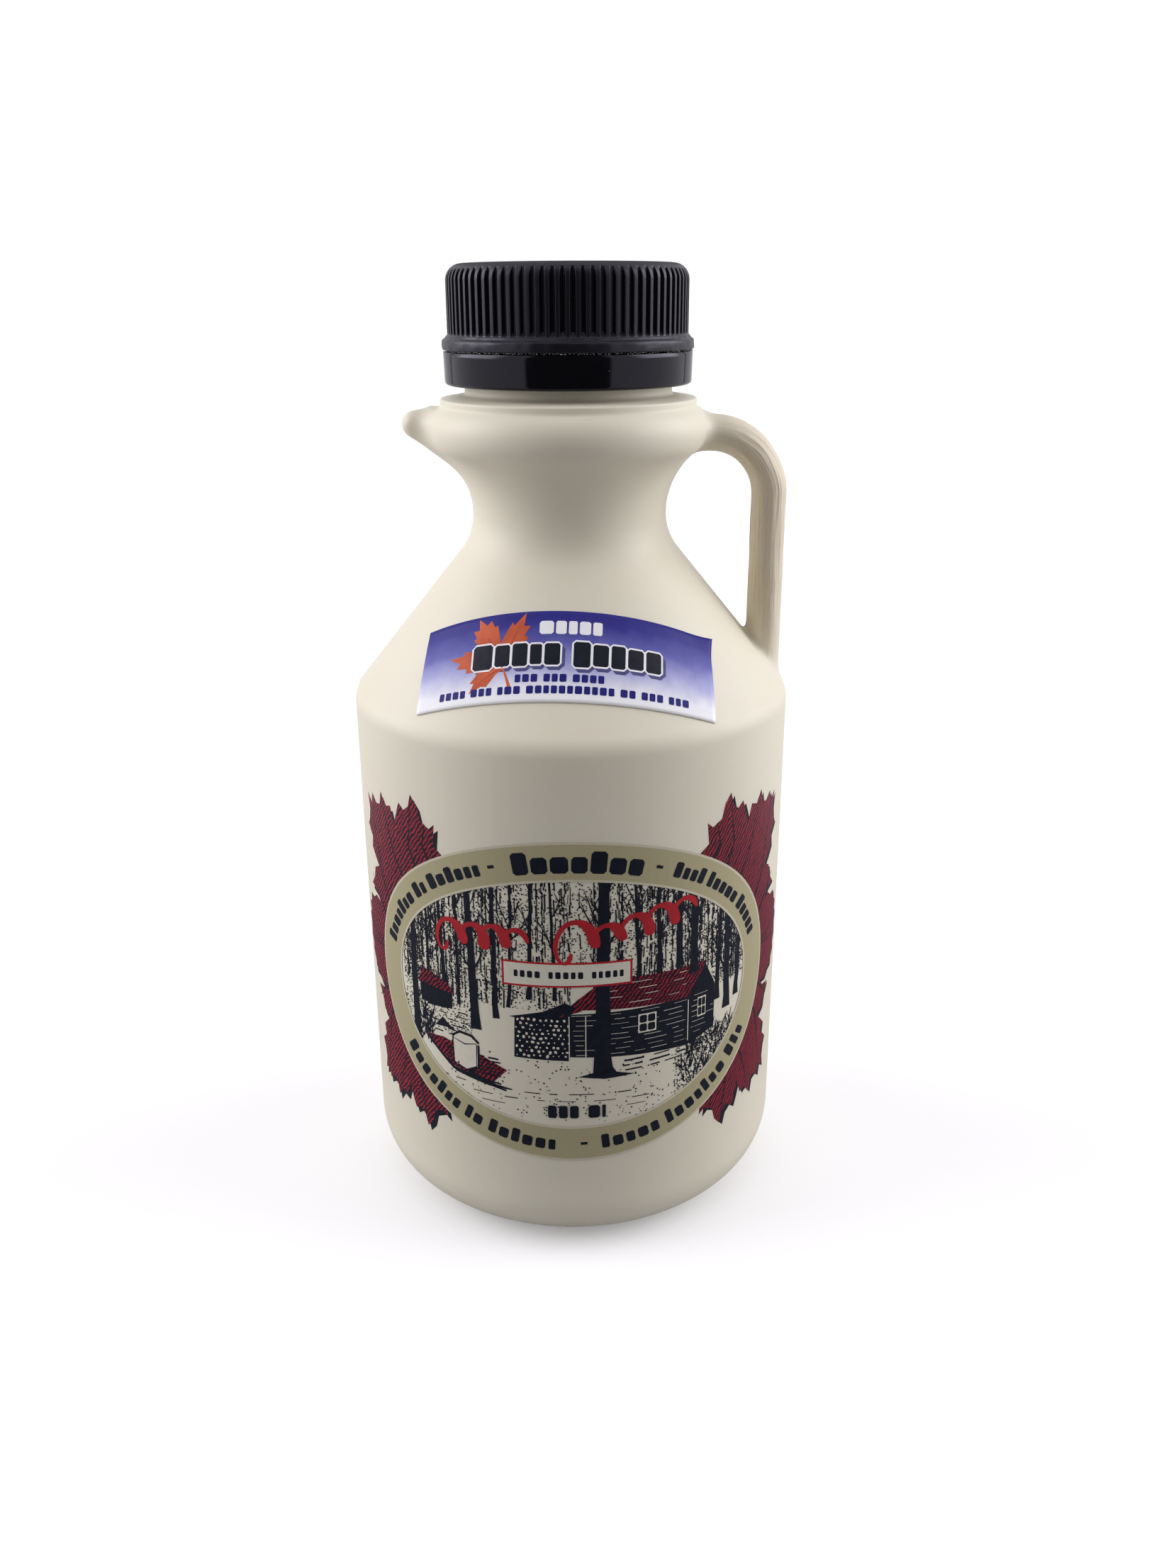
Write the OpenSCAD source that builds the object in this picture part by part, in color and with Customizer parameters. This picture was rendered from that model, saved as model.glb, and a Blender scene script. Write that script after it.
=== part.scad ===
// Half-litre syrup jug: a round moulded body with a cone shoulder, a narrow neck,
// a finger handle on one side and a small pouring beak on the other, shut by a
// ribbed screw cap on a tamper band, with a paper sticker on the shoulder.
// Millimetres. The jug stands on z = 0 with its axis on Z. The handle points
// along +X, the beak along -X, and the sticker is on the front, -Y.

/* [Body] */
// Radius of the upright wall
body_r = 39; // [35:0.5:47]
// Height of the sharp corner that the wall and the shoulder would make
shoulder_z = 96.2; // [80:0.2:116]
// Radius of the bottom edge
base_round = 11.3; // [4:0.1:14]
// Radius of the edge between the wall and the shoulder
shoulder_round = 4.8; // [1:0.1:8]
// Lean of the shoulder cone away from upright, in degrees
shoulder_lean = 39.5; // [36:0.5:48]

/* [Neck] */
// Radius of the plain neck that the cap and the band sit on
neck_r = 17.45; // [14:0.05:21]
// How much narrower the waist is than the plain neck
waist_in = 0.7; // [0:0.05:1.5]
// Radius of the hollow curve from the shoulder up to the waist
lower_curve = 9.8; // [6:0.1:14]
// Radius of the hollow curve from the waist out to the lip
upper_curve = 13.5; // [11:0.1:16]
// How far the lip stands out from the plain neck at its widest
lip_out = 6.2; // [5.2:0.1:7]
// Height of the lip's widest line above the waist
lip_rise = 14.2; // [13:0.1:15]
// How far the rim on top of the lip stands out from the plain neck
rim_out = 4.2; // [3.9:0.05:4.6]
// Height of the rim's upright edge
rim_h = 1.3; // [0.6:0.1:2]
// How much the rim's top climbs towards the neck
rim_climb = 0.5; // [0.2:0.1:1]
// Radius of the hollow curve at the foot of the plain neck
neck_foot = 0.6; // [0.3:0.1:1]

/* [Handle] */
// Thickness of the handle, in the plane of its bend
handle_t = 5.9; // [4:0.1:8]
// Width of the handle, across its bend
handle_w = 8.4; // [6:0.1:12]
// Radius of the handle's bend, at the middle of its thickness
handle_bend = 10.3; // [8:0.1:13]
// How far the handle's outer face stays inside the radius of the body
handle_inset = 1.4; // [0.5:0.1:3]
// Height of the top bar's middle below the lip's widest line
handle_drop = 0.9; // [0:0.1:2]

/* [Beak] */
// Reach of the beak beyond the lip at its widest
beak_reach = 4.7; // [2:0.1:8]
// Radius of the beak's rounded tip
beak_tip = 2.3; // [1.5:0.1:3]
// Angle of the beak's flanks to its own axis, in degrees
beak_flare = 20; // [12:1:26]
// Climb of the beak's axis towards the tip, in degrees
beak_lift = 11.5; // [0:0.5:20]
// Height of the tip's centre above the lip's widest line
beak_rise = 0.7; // [-1:0.1:2]

/* [Tamper band] */
// Wall of the band, outside the neck
band_wall = 3.35; // [2.4:0.05:3.7]
// Height of the band
band_h = 5.3; // [3:0.1:8]
// Gap between the rim and the band
band_gap = 2.2; // [1.2:0.1:3]
// Radius of the band's bottom edge
band_round = 0.6; // [0.2:0.1:1]
// Height of the slit between the band and the cap
slit = 0.3; // [0.1:0.05:0.6]

/* [Cap] */
// Wall of the cap at the crests of its ribs
cap_wall = 2.55; // [2:0.05:3.5]
// Height of the cap, from its bead to its top
cap_h = 13.2; // [9:0.1:18]
// Thickness of the cap's top
cap_top = 2.2; // [1.5:0.1:4]
// Radius of the cap's top edge
cap_round = 2.6; // [1:0.1:3]
// How far the bead round the foot of the cap stands out from the ribs
bead_out = 1.05; // [0.4:0.05:1.5]
// Height of the bead
bead_h = 2.5; // [1.5:0.1:4]
// Number of ribs
rib_count = 80; // [60:1:90]
// Width of the groove between two ribs
groove_w = 0.95; // [0.5:0.05:1.1]
// Depth of the groove between two ribs
groove_d = 0.55; // [0.3:0.05:0.8]

/* [Sticker] */
// Width of the sticker
sticker_w = 50.8; // [30:0.2:56]
// Height of the sticker
sticker_h = 15.8; // [10:0.2:17]
// Thickness of the sticker
sticker_t = 0.15; // [0.1:0.05:0.5]
// Distance from the shoulder's sharp corner up to the sticker's middle, along the cone
sticker_up = 15.9; // [13:0.1:17]
// How far the sticker sits to the left of the middle
sticker_left = 0.8; // [0:0.1:4]
// Tilt of the sticker, right end down, in degrees
sticker_tilt = 2.8; // [0:0.1:5]

/* [Hidden] */

$fn = 96;
arc_step = 6;    // degrees between the points of an outline's arcs
sticker_columns = 28;
sticker_rows = 6;
spare = 2;    // how far a cutter runs past what it cuts

// Neck outline: the cone runs tangent into the lower curve, which is upright at the waist.
waist_r = neck_r - waist_in;
lower_centre_r = waist_r + lower_curve;
cone_end_r = lower_centre_r - lower_curve * cos(shoulder_lean);
cone_end_z = shoulder_z + (body_r - cone_end_r) / tan(shoulder_lean);
waist_z = cone_end_z + lower_curve * sin(shoulder_lean);

// Lip outline: its round touches the upper curve and is widest at lip_r, lip_z.
lip_r = neck_r + lip_out;
lip_z = waist_z + lip_rise;
upper_centre_r = waist_r + upper_curve;
lip_side = upper_centre_r - lip_r;
lip_round = (pow(lip_side, 2) + pow(lip_rise, 2) - pow(upper_curve, 2)) / (2 * (upper_curve - lip_side));
lip_centre_r = lip_r - lip_round;
touch_angle = atan2(lip_rise, upper_centre_r - lip_centre_r);
rim_r = neck_r + rim_out;
crease_angle = acos((rim_r - lip_centre_r) / lip_round);
crease_z = lip_z + lip_round * sin(crease_angle);
rim_z = crease_z + rim_h;

// What stands on the neck, from the rim upwards
band_z = rim_z + band_gap;
cap_z = band_z + band_h + slit;
ribs_z = cap_z + bead_h;
neck_top_z = cap_z + cap_h - cap_top;
band_r = neck_r + band_wall;
cap_r = neck_r + cap_wall;
bead_r = cap_r + bead_out;
groove_r = cap_r - groove_d;

// Handle: the middle of its upright bar, of its bend and of its top bar
bar_x = body_r - handle_inset - handle_t / 2;
bend_x = bar_x - handle_bend;
top_bar_z = lip_z - handle_drop;
bend_z = top_bar_z - handle_bend;
bar_foot_z = shoulder_z - shoulder_round;    // sunk in the shoulder

// Beak: a cone whose flanks touch the round tip
beak_x = lip_r + beak_reach - beak_tip;
beak_length = beak_x - lip_centre_r;
beak_root_r = beak_tip / cos(beak_flare) + beak_length * tan(beak_flare);

// Sticker: its cone is unrolled flat round the apex
apex_z = shoulder_z + body_r / tan(shoulder_lean);
sticker_slant = body_r / sin(shoulder_lean) - sticker_up;

// Points of an arc from angle a to angle b round a centre, ends included
function arc(centre, r, a, b) =
    let (steps = ceil(abs(b - a) / arc_step))
    [for (i = [0 : steps]) centre + r * [cos(a + (b - a) * i / steps), sin(a + (b - a) * i / steps)]];

// Outline of the jug from its foot to the top of its neck
function jug_outline() =
    let (shoulder_cut = shoulder_round * tan(shoulder_lean / 2))
    concat(
        [[0, 0]],
        arc([body_r - base_round, base_round], base_round, -90, 0),
        arc([body_r - shoulder_round, shoulder_z - shoulder_cut], shoulder_round, 0, shoulder_lean),
        arc([lower_centre_r, waist_z], lower_curve, 180 + shoulder_lean, 180),
        arc([upper_centre_r, waist_z], upper_curve, 180, 180 - touch_angle),
        arc([lip_centre_r, lip_z], lip_round, -touch_angle, crease_angle),
        [[rim_r, rim_z]],
        arc([neck_r + neck_foot, rim_z + rim_climb + neck_foot], neck_foot, 270, 180),
        [[neck_r, neck_top_z], [0, neck_top_z]]
    );

// Section of the handle, an ellipse
module oval() {
    scale([handle_t, handle_w]) circle(0.5);
}

// Upright bar, quarter bend and top bar, which runs into the lip
module handle() {
    translate([bar_x, 0, bar_foot_z]) linear_extrude(bend_z - bar_foot_z) oval();
    translate([bend_x, 0, bend_z])
        rotate([90, 0, 0])
        rotate_extrude(angle = 90)
        translate([handle_bend, 0]) oval();
    translate([lip_centre_r, 0, top_bar_z])
        rotate([90, 0, 90])
        linear_extrude(bend_x - lip_centre_r)
        rotate(90) oval();
}

module beak() {
    translate([-beak_x, 0, lip_z + beak_rise])
        rotate([0, beak_lift - 90, 0])
        rotate_extrude()
        polygon(concat(
            [[0, -beak_length], [beak_root_r, -beak_length]],
            arc([0, 0], beak_tip, beak_flare, 90)));
}

module jug() {
    color("cornsilk")
    union() {
        rotate_extrude() polygon(jug_outline());
        handle();
        beak();
    }
}

// Cap outline, with its bead at the foot and the socket for the neck left open
function cap_outline() =
    let (bead_round = bead_h / 2, bead_z = cap_z + bead_round)
    concat(
        [[neck_r, cap_z]],
        arc([bead_r - bead_round, bead_z], bead_round, -90, 60),
        [[cap_r, ribs_z]],
        arc([cap_r - cap_round, cap_z + cap_h - cap_round], cap_round, 0, 90),
        [[0, cap_z + cap_h], [0, neck_top_z], [neck_r, neck_top_z]]
    );

module grooves() {
    translate([0, 0, ribs_z])
        linear_extrude(cap_h)
        for (i = [0 : rib_count - 1])
            rotate((i + 0.5) * 360 / rib_count - 90)
            translate([groove_r, -groove_w / 2]) square([bead_out + spare, groove_w]);
}

module cap() {
    color("#2f2c38")
    difference() {
        rotate_extrude() polygon(cap_outline());
        grooves();
    }
}

module tamper_band() {
    color("#1d1b22")
    rotate_extrude()
        polygon(concat(
            [[neck_r, band_z]],
            arc([band_r - band_round, band_z + band_round], band_round, -90, 0),
            [[band_r, band_z + band_h], [neck_r, band_z + band_h]]
        ));
}

// Point of the sticker at u across, v up and w off the cone, from the sticker's middle
function on_cone(u, v, w) =
    let (
        across = u * cos(sticker_tilt) + v * sin(sticker_tilt) - sticker_left,
        down = sticker_slant - v * cos(sticker_tilt) + u * sin(sticker_tilt),
        slant = norm([across, down]),
        turn = atan2(across, down) / sin(shoulder_lean) - 90,
        r = slant * sin(shoulder_lean) + w * cos(shoulder_lean),
        z = apex_z - slant * cos(shoulder_lean) + w * sin(shoulder_lean)
    )
    [r * cos(turn), r * sin(turn), z];

// A thin sheet in rows and columns, bent round the cone
module sticker() {
    across = sticker_columns + 1;
    layer = across * (sticker_rows + 1);
    sheet = [for (w = [0, sticker_t], j = [0 : sticker_rows], i = [0 : sticker_columns])
        on_cone(sticker_w * (i / sticker_columns - 0.5), sticker_h * (j / sticker_rows - 0.5), w)];
    edge = concat(
        [for (i = [0 : sticker_columns - 1]) i],
        [for (j = [0 : sticker_rows - 1]) j * across + sticker_columns],
        [for (i = [sticker_columns : -1 : 1]) sticker_rows * across + i],
        [for (j = [sticker_rows : -1 : 1]) j * across]
    );
    cells = [for (j = [0 : sticker_rows - 1], i = [0 : sticker_columns - 1]) j * across + i];
    color("#3a3d9a")
    polyhedron(
        points = sheet,
        faces = concat(
            [for (c = cells) [c, c + 1, c + across + 1]],
            [for (c = cells) [c, c + across + 1, c + across]],
            [for (c = cells) [layer + c, layer + c + across + 1, layer + c + 1]],
            [for (c = cells) [layer + c, layer + c + across, layer + c + across + 1]],
            [for (k = [0 : len(edge) - 1])
                let (a = edge[k], b = edge[(k + 1) % len(edge)])
                [a, layer + a, layer + b]],
            [for (k = [0 : len(edge) - 1])
                let (a = edge[k], b = edge[(k + 1) % len(edge)])
                [a, layer + b, b]]
        )
    );
}

jug();
cap();
tamper_band();
sticker();
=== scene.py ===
import math
import random

import bmesh
import bpy
import numpy as np
from mathutils import Matrix, Vector
from mathutils.geometry import tessellate_polygon
from mathutils.noise import noise


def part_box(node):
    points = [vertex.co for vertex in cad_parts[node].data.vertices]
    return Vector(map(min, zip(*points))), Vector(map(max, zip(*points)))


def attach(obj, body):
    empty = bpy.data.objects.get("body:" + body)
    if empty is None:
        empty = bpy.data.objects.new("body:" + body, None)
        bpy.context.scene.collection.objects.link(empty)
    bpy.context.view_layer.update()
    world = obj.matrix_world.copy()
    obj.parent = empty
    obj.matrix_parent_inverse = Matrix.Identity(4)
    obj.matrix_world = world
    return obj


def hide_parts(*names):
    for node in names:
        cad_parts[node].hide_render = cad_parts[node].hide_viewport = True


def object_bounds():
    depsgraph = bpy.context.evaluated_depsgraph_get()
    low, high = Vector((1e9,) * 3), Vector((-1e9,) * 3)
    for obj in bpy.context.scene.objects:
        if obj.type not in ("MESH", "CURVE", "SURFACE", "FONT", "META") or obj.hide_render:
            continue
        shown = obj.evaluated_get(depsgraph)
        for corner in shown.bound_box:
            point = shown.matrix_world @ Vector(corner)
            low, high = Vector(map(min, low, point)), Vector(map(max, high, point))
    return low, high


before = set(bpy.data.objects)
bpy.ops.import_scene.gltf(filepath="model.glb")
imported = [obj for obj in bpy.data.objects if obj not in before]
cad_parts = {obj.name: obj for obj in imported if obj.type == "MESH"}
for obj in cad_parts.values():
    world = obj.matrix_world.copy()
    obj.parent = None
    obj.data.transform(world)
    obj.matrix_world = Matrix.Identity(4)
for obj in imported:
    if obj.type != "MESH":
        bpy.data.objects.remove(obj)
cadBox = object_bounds()
mm = 0.001
uvSpan = 100  # millimetres to one unit of a flat UV map
scene = bpy.context.scene


# Mesh helpers. Outlines are in millimetres, meshes in metres.
def newMesh(name, points, faces, material, uvs=None):
    mesh = bpy.data.meshes.new(name)
    mesh.from_pydata([tuple(p) for p in points], [], [tuple(f) for f in faces])
    if uvs is not None:
        layer = mesh.uv_layers.new(name="flat")
        corners = np.array([loop.vertex_index for loop in mesh.loops])
        layer.data.foreach_set("uv", np.asarray(uvs, float)[corners].ravel())
    mesh.polygons.foreach_set("use_smooth", [True] * len(mesh.polygons))
    mesh.materials.append(material)
    piece = bpy.data.objects.new(name, mesh)
    scene.collection.objects.link(piece)
    return piece


def arc(centre, radius, start, end, step=3.0):
    steps = max(2, math.ceil(abs(end - start) / step))
    angles = [math.radians(start + (end - start) * i / steps) for i in range(steps + 1)]
    return [(centre[0] + radius * math.cos(a), centre[1] + radius * math.sin(a)) for a in angles]


def between(a, b, count):
    return [(a[0] + (b[0] - a[0]) * i / count, a[1] + (b[1] - a[1]) * i / count) for i in range(1, count)]


def ringFaces(rowCount, columns, offset=0):
    faces = []
    for j in range(rowCount - 1):
        for i in range(columns):
            a = offset + j * columns + i
            b = offset + j * columns + (i + 1) % columns
            faces.append((a, b, b + columns, a + columns))
    return faces


def poleFaces(pole, first, columns, facesUp):
    # a fan from a pole to one ring
    turns = [(first + i, first + (i + 1) % columns) for i in range(columns)]
    return [(pole, a, b) if facesUp else (pole, b, a) for a, b in turns]


def setAttribute(piece, name, kind, field, values):
    piece.data.attributes.new(name, kind, "POINT").data.foreach_set(field, values)


def finished(piece, slot, *nodes):
    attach(piece, "root")
    if nodes:
        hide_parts(*nodes)


def smoothstep(x):
    x = np.clip(x, 0, 1)
    return x * x * (3 - 2 * x)


# Node helpers
def newMaterial(name, **values):
    material = bpy.data.materials.new(name)
    material.use_nodes = True
    shader = material.node_tree.nodes["Principled BSDF"]
    for socket, value in values.items():
        shader.inputs[socket.replace("_", " ")].default_value = value
    return material, material.node_tree, shader


def addNode(tree, kind, inputs=None, **settings):
    node = tree.nodes.new(kind)
    for key, value in settings.items():
        setattr(node, key, value)
    for socket, value in (inputs or {}).items():
        if isinstance(value, bpy.types.NodeSocket):
            tree.links.new(value, node.inputs[socket])
        else:
            node.inputs[socket].default_value = value
    return node


def maths(tree, operation, a, b=0.0, c=0.0):
    return addNode(tree, "ShaderNodeMath", {0: a, 1: b, 2: c}, operation=operation).outputs[0]


def noiseField(tree, coords, scale, detail=3.0):
    node = addNode(tree, "ShaderNodeTexNoise", {"Vector": coords, "Scale": scale, "Detail": detail,
                                                "Roughness": 0.55})
    return node.outputs["Fac"]


def spread(tree, value, low, high, fromLow=0.3, fromHigh=0.7, kind="LINEAR"):
    # noise lies mostly between 0.3 and 0.7
    node = addNode(tree, "ShaderNodeMapRange", {"Value": value, "From Min": fromLow, "From Max": fromHigh,
                                                "To Min": low, "To Max": high}, interpolation_type=kind)
    return node.outputs["Result"]


def blendColour(tree, factor, a, b):
    node = addNode(tree, "ShaderNodeMix", {"Factor": factor}, data_type="RGBA")
    for socket, value in ((node.inputs[6], a), (node.inputs[7], b)):
        if isinstance(value, bpy.types.NodeSocket):
            tree.links.new(value, socket)
        else:
            socket.default_value = (*value, 1)
    return node.outputs[2]


def addBump(tree, shader, height, strength, depth, after=None):
    node = addNode(tree, "ShaderNodeBump", {"Height": height, "Strength": strength, "Distance": depth})
    if after is not None:
        tree.links.new(after, node.inputs["Normal"])
    tree.links.new(node.outputs["Normal"], shader.inputs["Normal"])
    return node.outputs["Normal"]


def dress(tree, shader, colour, roughness=None):
    tree.links.new(colour, shader.inputs["Base Color"])
    if roughness is not None:
        tree.links.new(roughness, shader.inputs["Roughness"])


def flatCoords(tree):
    return addNode(tree, "ShaderNodeUVMap", uv_map="flat").outputs[0]


def objectCoords(tree):
    return addNode(tree, "ShaderNodeTexCoord").outputs["Object"]


def newGeometryTree(name, inputs):
    # a tree with named inputs; gives the tree, what comes in, and the identifier of each input
    tree = bpy.data.node_groups.new(name, "GeometryNodeTree")
    sockets = {}
    for label, kind in (("Geometry", "Geometry"), *inputs, ("Finish", "Material")):
        socket = tree.interface.new_socket(label, in_out="INPUT", socket_type="NodeSocket" + kind)
        sockets[label] = socket.identifier
    tree.interface.new_socket("Geometry", in_out="OUTPUT", socket_type="NodeSocketGeometry")
    return tree, tree.nodes.new("NodeGroupInput").outputs, sockets


def endGeometryTree(tree, given, geometry):
    real = addNode(tree, "GeometryNodeRealizeInstances", {0: geometry})
    dressed = addNode(tree, "GeometryNodeSetMaterial", {"Geometry": real.outputs[0],
                                                        "Material": given["Finish"]})
    tree.links.new(dressed.outputs[0], tree.nodes.new("NodeGroupOutput").inputs[0])


def applyNodes(piece, tree, sockets, values):
    # runs a node tree over a piece and keeps the plain mesh
    modifier = piece.modifiers.new(tree.name, "NODES")
    modifier.node_group = tree
    for name, value in values.items():
        modifier[sockets[name]] = value
    bpy.context.view_layer.update()
    solved = piece.evaluated_get(bpy.context.evaluated_depsgraph_get())
    mesh = bpy.data.meshes.new_from_object(solved)
    piece.modifiers.clear()
    piece.data = mesh


# Camera
cameraSettings = {
    "place": (0.0, -0.22948, 0.162195),
    "lens": 29.93,
    "pitch": 20.588,  # degrees down
    "yaw": 0.744,  # degrees to the right
    "roll": -0.274,
    "sensor": 36,
}


def addCamera(settings):
    pitch, yaw, roll = (math.radians(settings[k]) for k in ("pitch", "yaw", "roll"))
    ahead = Vector((math.sin(yaw) * math.cos(pitch), math.cos(yaw) * math.cos(pitch), -math.sin(pitch)))
    level = ahead.cross(Vector((0, 0, 1))).normalized()
    above = level.cross(ahead)
    right = level * math.cos(roll) + above * math.sin(roll)
    up = above * math.cos(roll) - level * math.sin(roll)
    data = bpy.data.cameras.new("camera")
    data.lens = settings["lens"]
    data.sensor_width = settings["sensor"]
    data.clip_start = 0.01
    camera = bpy.data.objects.new("camera", data)
    turn = Matrix((right, up, -ahead)).transposed().to_4x4()
    camera.matrix_world = Matrix.Translation(settings["place"]) @ turn
    scene.collection.objects.link(camera)
    scene.camera = camera


addCamera(cameraSettings)
print("camera set")

# Light: a white tent, open and dark towards the front. The jug is lit from a small grey table,
# and the pale floor that is seen lights nothing. Angles are in degrees, round from the front and up.
tentSettings = {
    "wall": 0.9,
    "back": 0.65,
    "roof": 0.85,
    "roofHeights": (58, 66),  # the wall turns into the roof between these
    "lamps": 3.5,  # brighter patches on both side walls
    "lampAngles": (60, 82, 108, 128),
    "lampHeights": (-3, 10, 35, 53),
    "opening": 0.03,
    "openingHalfAngle": 39.0,
    "openingTop": 60.0,
    "seamAngle": 135.6,  # where two wall panels meet
    "seamHalfAngle": 0.9,
    "wallColour": (0.99, 0.975, 1.03),
    "backdrop": 1.0,
    "tableColour": (0.17, 0.17, 0.175),
    "tableRadius": 0.21,
    "matColour": (0.42, 0.42, 0.43),  # a paler mat lights the jug's rounded foot
    "matRadius": 0.056,
    "floorColour": (0.9, 0.9, 0.9),
    "floorGlow": 0.2,
    "floorRadius": 1.6,
}


def softStep(tree, value, start, end, low, high):
    return spread(tree, value, low, high, start, end, "SMOOTHSTEP")


def addTent(settings):
    world = bpy.data.worlds.new("tent")
    scene.world = world
    world.use_nodes = True
    tree = world.node_tree
    tree.nodes.clear()
    way = addNode(tree, "ShaderNodeTexCoord").outputs["Generated"]
    axes = addNode(tree, "ShaderNodeSeparateXYZ", {"Vector": way}).outputs
    forward = maths(tree, "MULTIPLY", axes["Y"], -1.0)
    angle = maths(tree, "ABSOLUTE", maths(tree, "ARCTAN2", axes["X"], forward))
    rise = maths(tree, "ARCSINE", axes["Z"])
    half = math.radians(settings["openingHalfAngle"])
    aside = softStep(tree, angle, half - 0.03, half + 0.03, 0, 1)
    top = math.radians(settings["openingTop"])
    over = softStep(tree, rise, top - 0.06, top + 0.06, 0, 1)
    shut = maths(tree, "MAXIMUM", aside, over)
    wall = softStep(tree, shut, 0, 1, settings["opening"], settings["wall"])
    away = maths(tree, "SUBTRACT", angle, math.radians(settings["seamAngle"]))
    seamHalf = math.radians(settings["seamHalfAngle"])
    seam = softStep(tree, maths(tree, "ABSOLUTE", away), seamHalf, seamHalf * 1.6, 0.1, 1.0)
    rear = softStep(tree, away, -0.02, 0.02, 1.0, settings["back"] / settings["wall"])
    seam = maths(tree, "MULTIPLY", seam, rear)
    patch = settings["lamps"]
    for value, limits in ((angle, settings["lampAngles"]), (rise, settings["lampHeights"])):
        a, b, c, d = (math.radians(v) for v in limits)
        patch = maths(tree, "MULTIPLY", patch, softStep(tree, value, a, b, 0, 1))
        patch = maths(tree, "MULTIPLY", patch, softStep(tree, value, c, d, 1, 0))
    wall = maths(tree, "MULTIPLY", maths(tree, "ADD", wall, patch), seam)
    low, high = (math.radians(v) for v in settings["roofHeights"])
    light = addNode(tree, "ShaderNodeMix", {0: softStep(tree, rise, low, high, 0, 1), 2: wall,
                                            3: settings["roof"]}, data_type="FLOAT").outputs[0]
    tent = addNode(tree, "ShaderNodeBackground", {"Color": (*settings["wallColour"], 1), "Strength": light})
    plain = addNode(tree, "ShaderNodeBackground", {"Color": (1, 1, 1, 1), "Strength": settings["backdrop"]})
    seen = addNode(tree, "ShaderNodeLightPath").outputs["Is Camera Ray"]
    mix = addNode(tree, "ShaderNodeMixShader", {0: seen, 1: tent.outputs[0], 2: plain.outputs[0]})
    addNode(tree, "ShaderNodeOutputWorld", {"Surface": mix.outputs[0]})


def addDisc(name, colour, glow, radius, height):
    material, tree, shader = newMaterial(name, Roughness=0.7, Emission_Color=(1, 1, 1, 1),
                                         Emission_Strength=glow)
    grain = noiseField(tree, objectCoords(tree), 300)
    dress(tree, shader, blendColour(tree, grain, colour, [c * 0.985 for c in colour]))
    ring = arc((0, 0), radius, 0, 357)
    disc = newMesh(name, [(x, y, height) for x, y in ring], [range(len(ring))], material)
    return disc


addTent(tentSettings)
for name, glow, height in (("floor", tentSettings["floorGlow"], 0),
                           ("table", 0, -0.0001), ("mat", 0, -0.00005)):
    disc = addDisc(name, tentSettings[name + "Colour"], glow, tentSettings[name + "Radius"], height)
    if name == "floor":
        for ray in ("visible_diffuse", "visible_glossy", "visible_transmission", "visible_shadow"):
            setattr(disc, ray, False)
    else:
        disc.visible_camera = False
scene.view_settings.view_transform = "Standard"
print("tent and table set")

# Jug, in millimetres and degrees
jugSettings = {
    "bodyRadius": 39.0,
    "inset": 0.08,  # the printed wall stays this far inside, to leave room for the ink
    "shoulderHeight": 96.2,
    "baseRound": 11.3,
    "shoulderRound": 4.8,
    "shoulderLean": 39.5,
    "neckRadius": 17.45,
    "waistRadius": 16.75,
    "lowerCurve": 9.8,
    "upperCurve": 13.5,
    "lipRadius": 23.65,
    "lipRise": 14.2,
    "rimRadius": 21.65,
    "rimHeight": 1.3,
    "rimClimb": 0.5,
    "rimEdge": 0.35,
    "neckFoot": 0.6,
    "neckEnd": 2.3,  # the neck stops this far under the cap's top
    "partingRidge": 0.07,
    "partingHalfAngle": 0.35,
    "unevenness": 0.06,
    "cream": (0.80, 0.755, 0.605),
    "creamDark": (0.775, 0.727, 0.575),
}
wallRadius = jugSettings["bodyRadius"] - jugSettings["inset"]


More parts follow.
